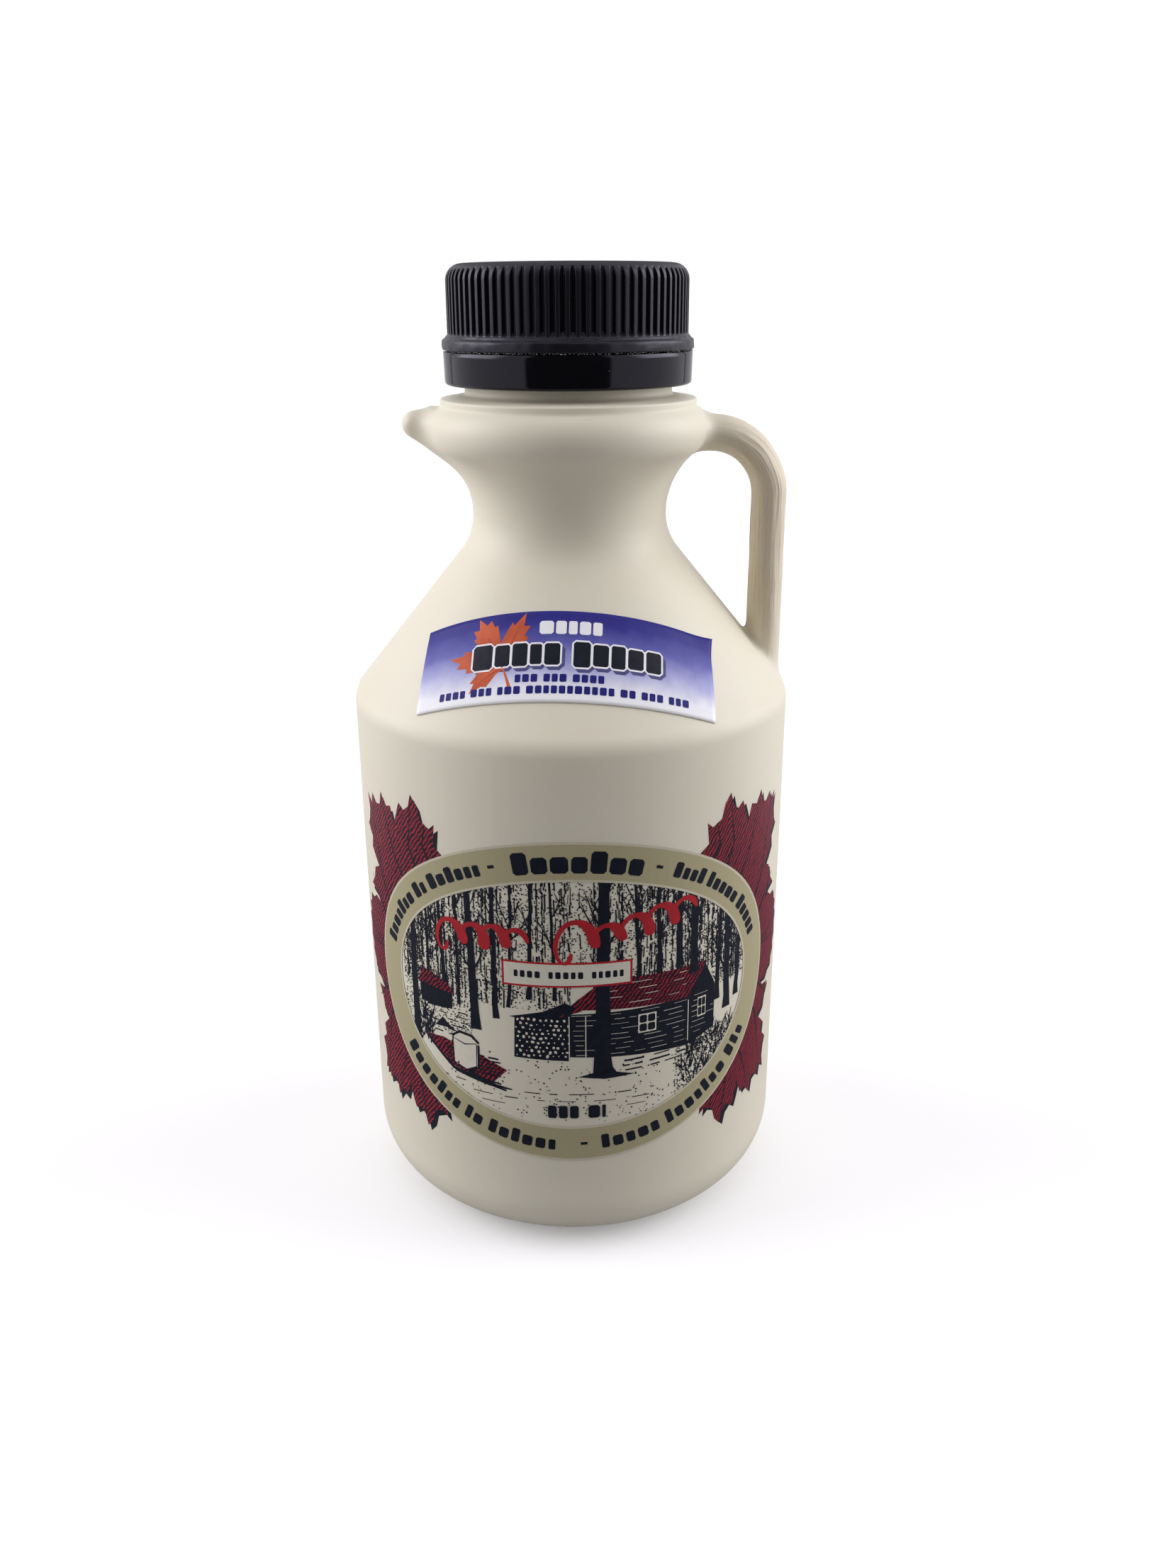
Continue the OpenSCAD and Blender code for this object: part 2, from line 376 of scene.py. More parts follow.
def jugOutline(s):
    # (radius, height) from the middle of the base to the top of the neck, and the heights of its parts
    lean = math.radians(s["shoulderLean"])
    cut = s["shoulderRound"] * math.tan(lean / 2)
    lowerCentre = s["waistRadius"] + s["lowerCurve"]
    coneEnd = lowerCentre - s["lowerCurve"] * math.cos(lean)
    coneTop = s["shoulderHeight"] + (s["bodyRadius"] - coneEnd) / math.tan(lean)
    waist = coneTop + s["lowerCurve"] * math.sin(lean)
    upperCentre = s["waistRadius"] + s["upperCurve"]
    side = upperCentre - s["lipRadius"]
    lipRound = (side**2 + s["lipRise"]**2 - s["upperCurve"]**2) / (2 * (s["upperCurve"] - side))
    lipCentre = s["lipRadius"] - lipRound
    lip = waist + s["lipRise"]
    touch = math.degrees(math.atan2(s["lipRise"], upperCentre - lipCentre))
    crease = math.degrees(math.acos((s["rimRadius"] - lipCentre) / lipRound))
    creaseHeight = lip + lipRound * math.sin(math.radians(crease))
    rim = creaseHeight + s["rimHeight"]
    foot, edge = s["neckFoot"], s["rimEdge"]
    shoulderStart = s["shoulderHeight"] - cut
    base = arc((wallRadius - s["baseRound"], s["baseRound"]), s["baseRound"], -90, 0, 4)
    shoulder = arc((wallRadius - s["shoulderRound"], shoulderStart), s["shoulderRound"], 0, s["shoulderLean"])
    lower = arc((lowerCentre, waist), s["lowerCurve"], 180 + s["shoulderLean"], 180)
    upper = arc((upperCentre, waist), s["upperCurve"], 180, 180 - touch, 2.5)
    bulge = arc((lipCentre, lip), lipRound, -touch, crease, 3.5)
    outline = between((0, 0), base[0], 6) + base + between(base[-1], shoulder[0], 26) + shoulder
    outline += between(shoulder[-1], lower[0], 16) + lower + upper[1:] + bulge[1:-1]
    outline += [(s["rimRadius"] + 0.12, creaseHeight - 0.02), (s["rimRadius"] + 0.02, creaseHeight + 0.12)]
    outline += [(s["rimRadius"], creaseHeight + 0.45)]
    outline += arc((s["rimRadius"] - edge, rim - edge), edge, 0, 80, 20)
    neck, neckStart = s["neckRadius"], rim + s["rimClimb"]
    outline += between((s["rimRadius"] - edge, rim), (neck + foot, neckStart), 4)
    outline += arc((neck + foot, neckStart + foot), foot, 270, 180, 15)
    outline += [(neck, rim + 4), (neck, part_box("cap")[1].z / mm - s["neckEnd"])]
    facts = {"lip": lip, "lipCentre": lipCentre, "crease": creaseHeight, "waist": waist, "rim": rim,
             "lean": lean, "apex": s["shoulderHeight"] + s["bodyRadius"] / math.tan(lean)}
    return outline, facts


outline, jugFacts = jugOutline(jugSettings)
jugRadii, jugHeights = (np.array(v) for v in zip(*outline))


def radiusAt(height):
    climb = (jugHeights > 0.5) & (jugHeights <= jugFacts["rim"] - 0.4)
    return np.interp(height, jugHeights[climb], jugRadii[climb])


beakSettings = {
    "reach": 4.7,
    "tip": 2.3,  # the round tip's radius
    "flare": 20.0,
    "lift": 11.5,
    "rise": 0.7,
    "blend": 2.6,
    "fadeBelowCrease": 0.9,
    "furthest": 12.0,  # no point of the lip is pushed out more than this
}


def beakDistance(x, y, z, s):
    # distance from a cone with a round tip, along -X and slightly up
    lift, flare = math.radians(s["lift"]), math.radians(s["flare"])
    dx, dz = x + jugSettings["lipRadius"] + s["reach"] - s["tip"], z - jugFacts["lip"] - s["rise"]
    along = -math.cos(lift) * dx + math.sin(lift) * dz
    ahead = np.sqrt(dx**2 + y**2 + dz**2)
    aside = np.sqrt(np.maximum(ahead**2 - along**2, 0))
    cone = aside * math.cos(flare) + along * math.sin(flare) - s["tip"]
    return np.where(along * math.cos(flare) - aside * math.sin(flare) > 0, ahead - s["tip"], cone)


def smoothUnion(a, b, blend):
    overlap = np.maximum(blend - np.abs(a - b), 0)
    return np.minimum(a, b) - overlap**2 / (4 * blend)


def wallDip(x, y, z):
    # blow-moulded walls are never quite true, and always a little inside
    return -jugSettings["unevenness"] * (0.5 + 0.5 * noise(Vector((x * 0.07, y * 0.07, z * 0.05))))


def makeJug(s, beak, material):
    # one turn a degree, closer at the beak and at the two parting ridges
    turns = set(np.arange(0, 360, 1.0)) | set(np.arange(156, 204, 0.5))
    half = s["partingHalfAngle"]
    turns |= {(t + d) % 360 for t in (0, 180) for d in (-half, -0.15, 0.15, half)}
    turns = np.array(sorted(round(t, 3) for t in turns))
    angles = np.radians(turns)
    # which way is outwards from each row
    dr, dz = np.gradient(jugRadii), np.gradient(jugHeights)
    size = np.hypot(dr, dz)
    outR, outZ = dz / size, -dr / size
    push = np.zeros((len(jugRadii), len(turns)))
    fromSeam = np.minimum(np.minimum(turns, 360 - turns), np.abs(turns - 180))
    ridge = np.clip(1 - fromSeam / half, 0, 1) * s["partingRidge"]
    moulded = (jugHeights > 1) & (jugHeights < jugFacts["crease"] - 0.5)
    push[moulded] += ridge[None, :]
    beakRows = np.where((jugHeights > jugFacts["waist"]) & (jugHeights < jugFacts["crease"]))[0]
    beakTurns = np.where(np.abs(turns - 180) < 60)[0]
    rows, cols = np.meshgrid(beakRows, beakTurns, indexing="ij")
    low, high = np.zeros(rows.shape), np.full(rows.shape, beak["furthest"])
    for _ in range(26):  # halves its way out to the blended surface
        h = (low + high) / 2
        r, z = jugRadii[rows] + outR[rows] * h, jugHeights[rows] + outZ[rows] * h
        x, y = r * np.cos(angles[cols]), r * np.sin(angles[cols])
        outside = smoothUnion(h, beakDistance(x, y, z, beak), beak["blend"]) > 0
        high, low = np.where(outside, h, high), np.where(outside, low, h)
    fade = smoothstep((jugFacts["crease"] - jugHeights[rows]) / beak["fadeBelowCrease"])
    push[rows, cols] += high * fade
    points = [(0, 0, 0)]
    for j, (r, z) in enumerate(outline):
        for i, a in enumerate(angles):
            x, y = math.cos(a), math.sin(a)
            h = push[j, i] + (wallDip(r * x, r * y, z) if moulded[j] else 0)
            points.append(((r + outR[j] * h) * x, (r + outR[j] * h) * y, z + outZ[j] * h))
    columns = len(turns)
    points.append((0, 0, jugHeights[-1]))
    faces = poleFaces(0, 1, columns, False) + ringFaces(len(outline), columns, 1)
    faces += poleFaces(len(points) - 1, 1 + (len(outline) - 1) * columns, columns, True)
    return newMesh("jugBody", np.array(points) * mm, faces, material)


handleSettings = {
    "thickness": 5.9,
    "width": 8.4,
    "bend": 10.3,
    "inset": 1.4,
    "drop": 0.9,
    "blendBack": 2.4,  # how far the fillet runs back along the handle
    "blendOut": 2.1,  # how far it runs out over the jug
    "sink": 0.13,  # the fillets end this far under the jug's surface
    "outerFlat": 0.15,  # the outside of the bend is a little flatter than round
    "flatAt": 32,  # degrees up the bend
    "flatSpread": 18,
    "drawLines": 0.17,  # shallow furrows along the handle
    "partingRidge": 0.13,
    "unevenness": 0.1,
    "rings": 84,
    "filletRings": 7,
    "tint": (0.95, 0.89, 0.86),  # the handle is a little browner than the body
}


def makeHandle(s, material):
    barX = jugSettings["bodyRadius"] - s["inset"] - s["thickness"] / 2
    bendX, topZ = barX - s["bend"], jugFacts["lip"] - s["drop"]
    bendZ, footZ = topZ - s["bend"], jugSettings["shoulderHeight"] - jugSettings["shoulderRound"]
    upright, quarter = bendZ - footZ, s["bend"] * math.pi / 2
    total = upright + quarter + bendX - jugFacts["lipCentre"]
    # every 9 degrees round the bar, and closer at its parting ridge
    sides = sorted(set(range(0, 360, 9)) | {2, 4, 176, 178, 182, 184, 356, 358})
    side = np.radians(np.array(sides, float))[None, :]

    def surface(along):
        # along and the result's first two axes: rings by sides
        a = np.clip((along - upright) / s["bend"], 0, math.pi / 2)
        straightUp, straightIn = np.minimum(along, upright), np.maximum(along - upright - quarter, 0)
        outX, outZ = np.cos(a), np.sin(a)
        x = bendX + s["bend"] * outX - straightIn
        z = footZ + straightUp + s["bend"] * outZ
        flat = s["outerFlat"] * np.exp(-((np.degrees(a) - s["flatAt"]) / s["flatSpread"])**2) * (a > 0)
        fromSeam = np.minimum(np.degrees(side) % 180, 180 - np.degrees(side) % 180)
        ridge = s["partingRidge"] * np.clip(1 - fromSeam / 4, 0, 1)
        reach = np.cos(side) * (s["thickness"] / 2 + ridge) - flat * np.clip(np.cos(side), 0, 1)
        across = np.sin(side) * s["width"] / 2
        return np.stack([x + reach * outX, across + 0 * a, z + reach * outZ], -1)

    # where each line along the bar comes out of the jug, at its foot and at its top
    steps = np.linspace(0, total, 1500)[:, None]
    trial = surface(steps + 0 * side)
    inside = np.hypot(trial[..., 0], trial[..., 1]) < radiusAt(trial[..., 2])
    middle = len(steps) // 2
    start = np.array([steps[np.where(inside[:middle, i])[0].max(), 0] for i in range(len(sides))])
    end = np.array([steps[middle + np.where(inside[middle:, i])[0].min(), 0] for i in range(len(sides))])
    share = np.linspace(0, 1, s["rings"])[:, None]
    along = (start + s["blendBack"]) * (1 - share) + (end - s["blendBack"]) * share
    rings = surface(along)
    centre = rings.mean(1, keepdims=True)
    for j, ring in enumerate(rings):
        for i, p in enumerate(ring):
            away = (p - centre[j, 0]) / np.linalg.norm(p - centre[j, 0])
            furrow = noise(Vector((i * 0.42, along[j, i] * 0.09, 5.0))) * math.sin(math.pi * i / len(ring))
            uneven = s["unevenness"] * noise(Vector(p * 0.3)) + s["drawLines"] * furrow
            rings[j, i] = p + away * uneven * min(1, 4 * share[j, 0], 4 - 4 * share[j, 0])

    def fillet(corner, back, middleOfRing):
        # from the handle round to the jug's own surface, one ring after another
        slope = (radiusAt(corner[..., 2] + 0.05) - radiusAt(corner[..., 2] - 0.05)) / 0.1
        flatRadius = np.hypot(corner[..., 0], corner[..., 1])
        normal = np.stack([corner[..., 0] / flatRadius, corner[..., 1] / flatRadius, -slope], -1)
        normal /= np.linalg.norm(normal, axis=-1, keepdims=True)
        away = corner - middleOfRing
        away -= (away * normal).sum(-1, keepdims=True) * normal
        away /= np.linalg.norm(away, axis=-1, keepdims=True)
        foot = corner + away * s["blendOut"]
        scale = (radiusAt(foot[..., 2]) - s["sink"]) / np.hypot(foot[..., 0], foot[..., 1])
        foot[..., :2] *= scale[..., None]
        shares = [(k + 1) / s["filletRings"] for k in range(s["filletRings"])]
        return [back * (1 - t)**2 + corner * 2 * t * (1 - t) + foot * t * t for t in shares]

    startCorner, endCorner = surface(start[None, :])[0], surface(end[None, :])[0]
    footRings = fillet(startCorner, rings[0], startCorner.mean(0))
    topRings = fillet(endCorner, rings[-1], endCorner.mean(0))
    stack = footRings[::-1] + list(rings) + topRings
    points = np.concatenate([np.reshape(r, (-1, 3)) for r in stack])
    poles = [footRings[-1].mean(0) - (0, 0, 4), topRings[-1].mean(0) - (4, 0, 0)]
    points = np.vstack([points, poles])
    columns = len(sides)
    faces = ringFaces(len(stack), columns)
    faces += poleFaces(len(points) - 2, 0, columns, False)
    faces += poleFaces(len(points) - 1, (len(stack) - 1) * columns, columns, True)
    piece = newMesh("jugHandle", points * mm, faces, material)
    # where each corner lies on the unbent bar, for the streaks in the plastic
    lengths = np.concatenate([np.tile(start, len(footRings)), along.ravel(),
                              np.tile(end, len(topRings)), [0, total]])
    around = np.concatenate([np.tile(side[0], len(stack)), [0, 0]])
    flow = np.stack([np.cos(around) * s["thickness"] / 2, np.sin(around) * s["width"] / 2, lengths], -1)
    setAttribute(piece, "flow", "FLOAT_VECTOR", "vector", flow.ravel())
    # 0 where a fillet meets the jug and 1 well out on the bar, so that the finish fades in
    fromEnd = [min(j, len(stack) - 1 - j) for j in range(len(stack))]
    worn = np.interp(fromEnd, (0, s["filletRings"], s["filletRings"] + 14), (0, 0.3, 1))
    setAttribute(piece, "worn", "FLOAT", "value", np.append(np.repeat(worn, columns), (0, 0)))
    return piece


def jugPlastic(name, s, tint=None):
    # with a tint, the plastic of the handle: browner, and drawn into streaks along it
    material, tree, shader = newMaterial(name, Subsurface_Weight=0.12, Subsurface_Scale=0.004,
                                         Subsurface_Radius=(1.0, 0.75, 0.5), Specular_IOR_Level=0.45)
    coords = objectCoords(tree)
    clouds = spread(tree, noiseField(tree, coords, 45, 4), 0, 1)
    colour = blendColour(tree, clouds, s["cream"], s["creamDark"])
    if tint:
        worn = addNode(tree, "ShaderNodeAttribute", attribute_name="worn").outputs["Fac"]
        light, dark = ([c * t for c, t in zip(s[shade], tint)] for shade in ("cream", "creamDark"))
        colour = blendColour(tree, worn, colour, blendColour(tree, clouds, light, dark))
    dress(tree, shader, colour, spread(tree, noiseField(tree, coords, 160, 4), 0.42, 0.5))
    wave = addBump(tree, shader, noiseField(tree, coords, 90, 2), 0.35, 0.0002)
    if tint:
        flow = addNode(tree, "ShaderNodeAttribute", attribute_name="flow").outputs["Vector"]
        drawn = addNode(tree, "ShaderNodeMapping", {"Vector": flow, "Scale": (1, 1, 0.07)}).outputs[0]
        streaks = maths(tree, "MULTIPLY", noiseField(tree, drawn, 1.3, 3), worn)
        wave = addBump(tree, shader, streaks, 0.9, 0.0005, wave)
    addBump(tree, shader, noiseField(tree, coords, 2600, 3), 0.25, 0.00003, wave)
    return material


jug = makeJug(jugSettings, beakSettings, jugPlastic("jugPlastic", jugSettings))
handle = makeHandle(handleSettings, jugPlastic("handlePlastic", jugSettings, handleSettings["tint"]))
finished(jug, "jug", "jug")
finished(handle, "jug", "jug")
print("jug and handle made")

# Cap
capSettings = {
    "ribs": 80,
    "crestRadius": 20.0,
    "beadRadius": 21.05,
    "grooveDepth": 0.75,
    "crestShare": 0.36,  # share of the pitch that a crest takes
    "grooveShare": 0.62,  # share of the pitch where a groove is at its full depth
    "topRound": 2.6,
    "beadLumps": 0.2,
    "beadOutline": ((0.14, 0), (0.04, 0.05), (0, 0.2), (0, 0.65), (0, 1.1), (0.03, 1.36), (0.12, 1.54)),
    "beadRound": 0.35,
    "footHeight": 1.65,  # where the slope on the bead starts, above the cap's lowest edge
    "footSlope": 1.05,
    "columnShares": (0, 0.1, 0.165, 0.19, 0.215, 0.24, 0.27, 0.31, 0.4),  # from a crest to mid-groove
    "colour": (0.0085, 0.008, 0.0115),
    "gloss": 0.38,
    "roughness": (0.29, 0.38),
    "grain": 0.5,
    "matteTop": 0.3,  # the top is duller than the side by this much roughness
}


def capOutline(s):
    # (radius, height) from the top of the socket down, round the bead and up to the top's middle
    low, high = (corner.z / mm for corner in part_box("cap"))
    neck = jugSettings["neckRadius"]
    bead, crest, edge = s["beadRadius"], s["crestRadius"], s["topRound"]
    slopeStart = (bead - s["beadRound"], low + s["footHeight"])
    slopeEnd = (crest, slopeStart[1] + (slopeStart[0] - crest) / s["footSlope"])
    aboveSlope = (crest, slopeEnd[1] + 1.0)
    points = [(neck, high - jugSettings["neckEnd"]), (neck, low)]
    points += [(bead - inward, low + up) for inward, up in s["beadOutline"]]
    points += [slopeStart] + between(slopeStart, slopeEnd, 5) + [slopeEnd]
    points += between(slopeEnd, aboveSlope, 6) + between(aboveSlope, (crest, high - edge), 4)
    points += arc((crest - edge, high - edge), edge, 0, 90, 5)
    points += [(crest - edge - 0.5, high - 0.12), (crest - edge - 1.0, high - 0.14)]
    points += [(9, high - 0.14), (2, high - 0.14), (1.1, high - 0.3)]  # ends in the moulding gate's dimple
    return points


def makeCapBlank(s, material):
    profile = capOutline(s)
    shares = [*s["columnShares"], 0.5] + [1 - share for share in reversed(s["columnShares"][1:])]
    turns = [2 * math.pi * (rib + share) / s["ribs"] for rib in range(s["ribs"]) for share in shares]
    columns = len(turns)
    verts = []
    for r, z in profile:
        for a in turns:
            x, y = math.cos(a), math.sin(a)
            lump = 0.0
            if r > s["crestRadius"] + 0.4:
                lump = s["beadLumps"] * (0.5 + 0.5 * noise(Vector((x * 11, y * 11, z * 1.1))))
            verts.append(((r - lump) * x, (r - lump) * y, z))
    verts += [(0, 0, profile[0][1]), (0, 0, profile[-1][1])]
    faces = ringFaces(len(profile), columns)
    faces += poleFaces(len(verts) - 2, 0, columns, False)
    faces += poleFaces(len(verts) - 1, (len(profile) - 1) * columns, columns, True)
    return newMesh("ribbedCap", np.array(verts) * mm, faces, material)


def ribTree():
    # Presses grooves into a plain cap, and lets the slope on its bead run into them
    sizes = ("Ribs", "Crest radius", "Groove depth", "Crest share", "Groove share", "Bead radius",
             "Foot height", "Foot slope")
    tree, given, sockets = newGeometryTree("capRibs", [(name, "Float") for name in sizes])

    def times(a, b):
        return maths(tree, "MULTIPLY", a, b)

    def less(a, b):
        return maths(tree, "SUBTRACT", a, b)

    place = addNode(tree, "GeometryNodeInputPosition").outputs[0]
    x, y, z = addNode(tree, "ShaderNodeSeparateXYZ", {0: place}).outputs
    radius = maths(tree, "SQRT", maths(tree, "ADD", times(x, x), times(y, y)))
    turn = maths(tree, "DIVIDE", maths(tree, "ARCTAN2", y, x), 2 * math.pi)
    # 0 in the middle of a rib and 1 in the middle of a groove, with a rib at the very front
    ribsRound = times(maths(tree, "ADD", turn, 0.25), given["Ribs"])
    phase = maths(tree, "FRACT", maths(tree, "ADD", ribsRound, 1000.5))
    fromCrest = times(maths(tree, "ABSOLUTE", less(phase, 0.5)), 2)
    hollow = softStep(tree, fromCrest, given["Crest share"], given["Groove share"], 0, 1)
    floorOfGroove = less(given["Crest radius"], times(hollow, given["Groove depth"]))
    grooved = maths(tree, "MINIMUM", radius, floorOfGroove)
    slope = less(given["Bead radius"], times(less(z, given["Foot height"]), given["Foot slope"]))
    shaped = maths(tree, "MAXIMUM", grooved, maths(tree, "MINIMUM", slope, radius))
    outer = maths(tree, "GREATER_THAN", radius, times(given["Crest radius"], 0.9))
    chosen = times(outer, maths(tree, "GREATER_THAN", z, given["Foot height"]))
    share = maths(tree, "DIVIDE", shaped, maths(tree, "MAXIMUM", radius, 1e-6))
    moved = addNode(tree, "ShaderNodeCombineXYZ", {0: times(x, share), 1: times(y, share), 2: z})
    put = addNode(tree, "GeometryNodeSetPosition", {"Geometry": given["Geometry"], "Selection": chosen,
                                                    "Position": moved.outputs[0]})
    endGeometryTree(tree, given, put.outputs[0])
    return tree, sockets


def capPlastic(name, s):
    material, tree, shader = newMaterial(name, Specular_IOR_Level=s["gloss"],
                                         Specular_Tint=(0.9, 0.86, 1.0, 1))
    coords = objectCoords(tree)
    clouds = spread(tree, noiseField(tree, coords, 220, 4), 0, 1)
    colour = blendColour(tree, clouds, s["colour"], [c * 1.35 for c in s["colour"]])
    rough = spread(tree, noiseField(tree, coords, 700, 4), *s["roughness"])
    height = addNode(tree, "ShaderNodeSeparateXYZ", {0: coords}).outputs["Z"]
    top = cadBox[1][2]
    matte = spread(tree, height, 0, s["matteTop"], top - 0.0006, top - 0.0002)
    dress(tree, shader, colour, maths(tree, "ADD", rough, matte))
    wave = addBump(tree, shader, noiseField(tree, coords, 420, 2), s["grain"], 0.0001)
    addBump(tree, shader, noiseField(tree, coords, 5200, 2), s["grain"] * 0.6, 0.00002, wave)
    return material


capMaterial = capPlastic("capPlastic", capSettings)
cap = makeCapBlank(capSettings, capMaterial)
capTree, capSockets = ribTree()
applyNodes(cap, capTree, capSockets, {
    "Ribs": float(capSettings["ribs"]),
    "Crest radius": capSettings["crestRadius"] * mm,
    "Groove depth": capSettings["grooveDepth"] * mm,
    "Crest share": capSettings["crestShare"],
    "Groove share": capSettings["grooveShare"],
    "Bead radius": (capSettings["beadRadius"] - capSettings["beadRound"]) * mm,
    "Foot height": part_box("cap")[0].z + capSettings["footHeight"] * mm,
    "Foot slope": capSettings["footSlope"],
    "Finish": capMaterial,
})
finished(cap, "cap", "cap")
print("cap made")

# Tamper band
bandSettings = {
    "edge": 0.6,
    "lean": 0.12,
    "proud": 0.19,
    "waver": 0.05,  # most that the upper edge falls from one column to the next, at its start
    "columns": 360,
    "colour": (0.004, 0.004, 0.0055),
    "gloss": 0.32,
    "roughness": (0.07, 0.11),
    "grain": 0.06,
    "matteTop": 0.0,
}


def makeBand(s, material):
    lowest, highest = (c.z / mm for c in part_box("tamper_band"))
    highest += s["proud"]
    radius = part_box("tamper_band")[1].x / mm
    neck = jugSettings["neckRadius"]
    outside = arc((radius - s["lean"] - s["edge"], lowest + s["edge"]), s["edge"], -90, 0, 12)
    outside += between(outside[-1], (radius, highest - 0.12), 6)
    outside += [(radius, highest - 0.12), (radius - 0.02, highest - 0.05), (radius - 0.08, highest)]
    # a dark inner skirt closes the slit just behind the torn edge
    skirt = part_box("cap")[0].z / mm - 0.02
    profile = outside + [(radius - 0.9, highest), (radius - 1.0, skirt), (neck, skirt), (neck, lowest)]
    points = []
    for r, z in profile:
        for i in range(s["columns"]):
            a = 2 * math.pi * i / s["columns"]
            if z > highest - 0.2 and r > radius - 0.6:  # falls unevenly by 0.2, then runs level
                rough = noise(Vector((math.cos(a) * 6, math.sin(a) * 6, 0)))
                rough += 0.5 * noise(Vector((a * 40, 3, 0)))
                z = min(highest, z - s["waver"] * abs(rough))
            points.append((r * math.cos(a), r * math.sin(a), z))
    columns = s["columns"]
    last = (len(profile) - 1) * columns
    faces = ringFaces(len(profile), columns)
    faces += [(last + i, last + (i + 1) % columns, (i + 1) % columns, i) for i in range(columns)]
    return newMesh("tamperBand", np.array(points) * mm, faces, material)


band = makeBand(bandSettings, capPlastic("bandPlastic", bandSettings))
finished(band, "tamper_band", "tamper_band")
print("tamper band made")

# Flat print: every shape is a closed skin a few hundredths of a millimetre thick, cut out of a flat
# sheet in millimetres and then laid on the wall or on the shoulder.
printSettings = {
    "skin": 0.012,
    "step": 1.6,  # longest stretch that is left straight when the sheet is bent
    "shadowLevel": 0.010,
    "leafLevel": 0.020,
    "veinLevel": 0.026,
    "farLevel": 0.036,
    "nearLevel": 0.044,
    "frontLevel": 0.056,
    "ringLevel": 0.076,
    "markLevel": 0.092,
}


def onWall(u, v, level):
    a = u / wallRadius
    x, y = wallRadius * math.sin(a), -wallRadius * math.cos(a)
    r = (wallRadius + wallDip(x, y, v) + level) / wallRadius
    return x * r, y * r, v


def skinPiece(name, shapes, material, lay, shift=0.0):
    # shapes holds (outline, holes, level); a mesh is cut along its bends, laid down and given its thickness
    cut = bmesh.new()
    for outline, holes, level in shapes:
        loops = [outline, *holes]
        corners = [cut.verts.new((x, y, level)) for loop in loops for x, y in loop]
        for face in tessellate_polygon([[Vector((x, y, 0)) for x, y in loop] for loop in loops]):
            a, b, c = (corners[i] for i in face)
            area = (b.co - a.co).cross(c.co - a.co).z
            if abs(area) > 1e-7:
                cut.faces.new((a, b, c) if area > 0 else (a, c, b))
    left, right = min(v.co.x for v in cut.verts), max(v.co.x for v in cut.verts)
    step = printSettings["step"]
    for k in range(math.ceil(left / step), math.floor(right / step) + 1):
        every = cut.verts[:] + cut.edges[:] + cut.faces[:]
        bmesh.ops.bisect_plane(cut, geom=every, dist=1e-6, plane_co=(k * step, 0, 0), plane_no=(1, 0, 0))
    loose = [v for v in cut.verts if not v.link_faces]
    bmesh.ops.delete(cut, geom=loose, context="VERTS")
    cut.verts.index_update()
    flat = [tuple(v.co) for v in cut.verts]
    top = [[v.index for v in f.verts] for f in cut.faces]
    count = len(flat)
    sides = []
    for edge in cut.edges:
        if edge.is_boundary:
            loop = edge.link_loops[0]
            a, b = loop.vert.index, loop.link_loop_next.vert.index
            sides.append((b, a, a + count, b + count))
    cut.free()
    points = [lay(u + shift, v, w) for u, v, w in flat]
    points += [lay(u + shift, v, w - printSettings["skin"]) for u, v, w in flat]
    faces = top + [[i + count for i in reversed(f)] for f in top] + sides
    uvs = [(u / uvSpan, v / uvSpan) for u, v, w in flat] * 2
    piece = newMesh(name, np.array(points) * mm, faces, material, uvs)
    piece.data.polygons.foreach_set("use_smooth", [False] * len(piece.data.polygons))
    return piece


def printed(layers, slot, lay, shift=0.0, tail=""):
    for name, shapes, material in layers:
        finished(skinPiece(name + tail, shapes, material, lay, shift), slot)


def oval(centre, width, height, count=96):
    turns = [math.radians(360 * i / count) for i in range(count)]
    return [(centre[0] + width * math.cos(a), centre[1] + height * math.sin(a)) for a in turns]


def turned(points, centre, angle):
    c, s = math.cos(angle), math.sin(angle)
    return [(centre[0] + x * c - y * s, centre[1] + x * s + y * c) for x, y in points]


def block(centre, width, height, angle=0.0, corner=0.35):
    # a mark with rounded corners
    w, h = width / 2, height / 2
    k = min(w, h) * corner
    points = [(-w + k, -h), (w - k, -h), (w, -h + k), (w, h - k),
              (w - k, h), (-w + k, h), (-w, h - k), (-w, -h + k)]
    return turned(points, centre, angle)


def randomWords(rng, low, high, *counts):
    return [[rng.uniform(low, high) for _ in range(count)] for count in counts]


def blockRow(left, middle, words, tall, gap, wordGap, level, corner=0.35):
    # blocks in place of a line of lettering; words holds the widths of each word's blocks
    shapes = []
    for word in words:
        for width in word:
            shapes.append((block((left + width / 2, middle), width, tall, 0.0, corner), [], level))
            left += width + gap
        left += wordGap
    return shapes


def stroke(path, widths):
    # one outline round a path that doesn't cross itself
    left, right = [], []
    for i, (x, y) in enumerate(path):
        ax, ay = path[max(i - 1, 0)]
        bx, by = path[min(i + 1, len(path) - 1)]
        size = math.hypot(bx - ax, by - ay) or 1
        nx, ny = -(by - ay) / size * widths[i] / 2, (bx - ax) / size * widths[i] / 2
        left.append((x + nx, y + ny))
        right.append((x - nx, y - ny))
    return left + right[::-1]


def patch(level, *corners):
    return list(corners), [], level


def line(level, widths, *path):
    return stroke(path, widths), [], level


def brush(path, widths, level, climb):
    # a path that crosses itself, as short steps that climb a little
    shapes = []
    for i in range(len(path) - 1):
        part = slice(max(i - 1, 0), min(i + 3, len(path)))
        edge = stroke(path[part], widths[part])
        k = i - max(i - 1, 0)
        quad = (edge[k], edge[k + 1], edge[-2 - k], edge[-1 - k])
        shapes.append(patch(level + climb * i / len(path), *quad))
    return shapes


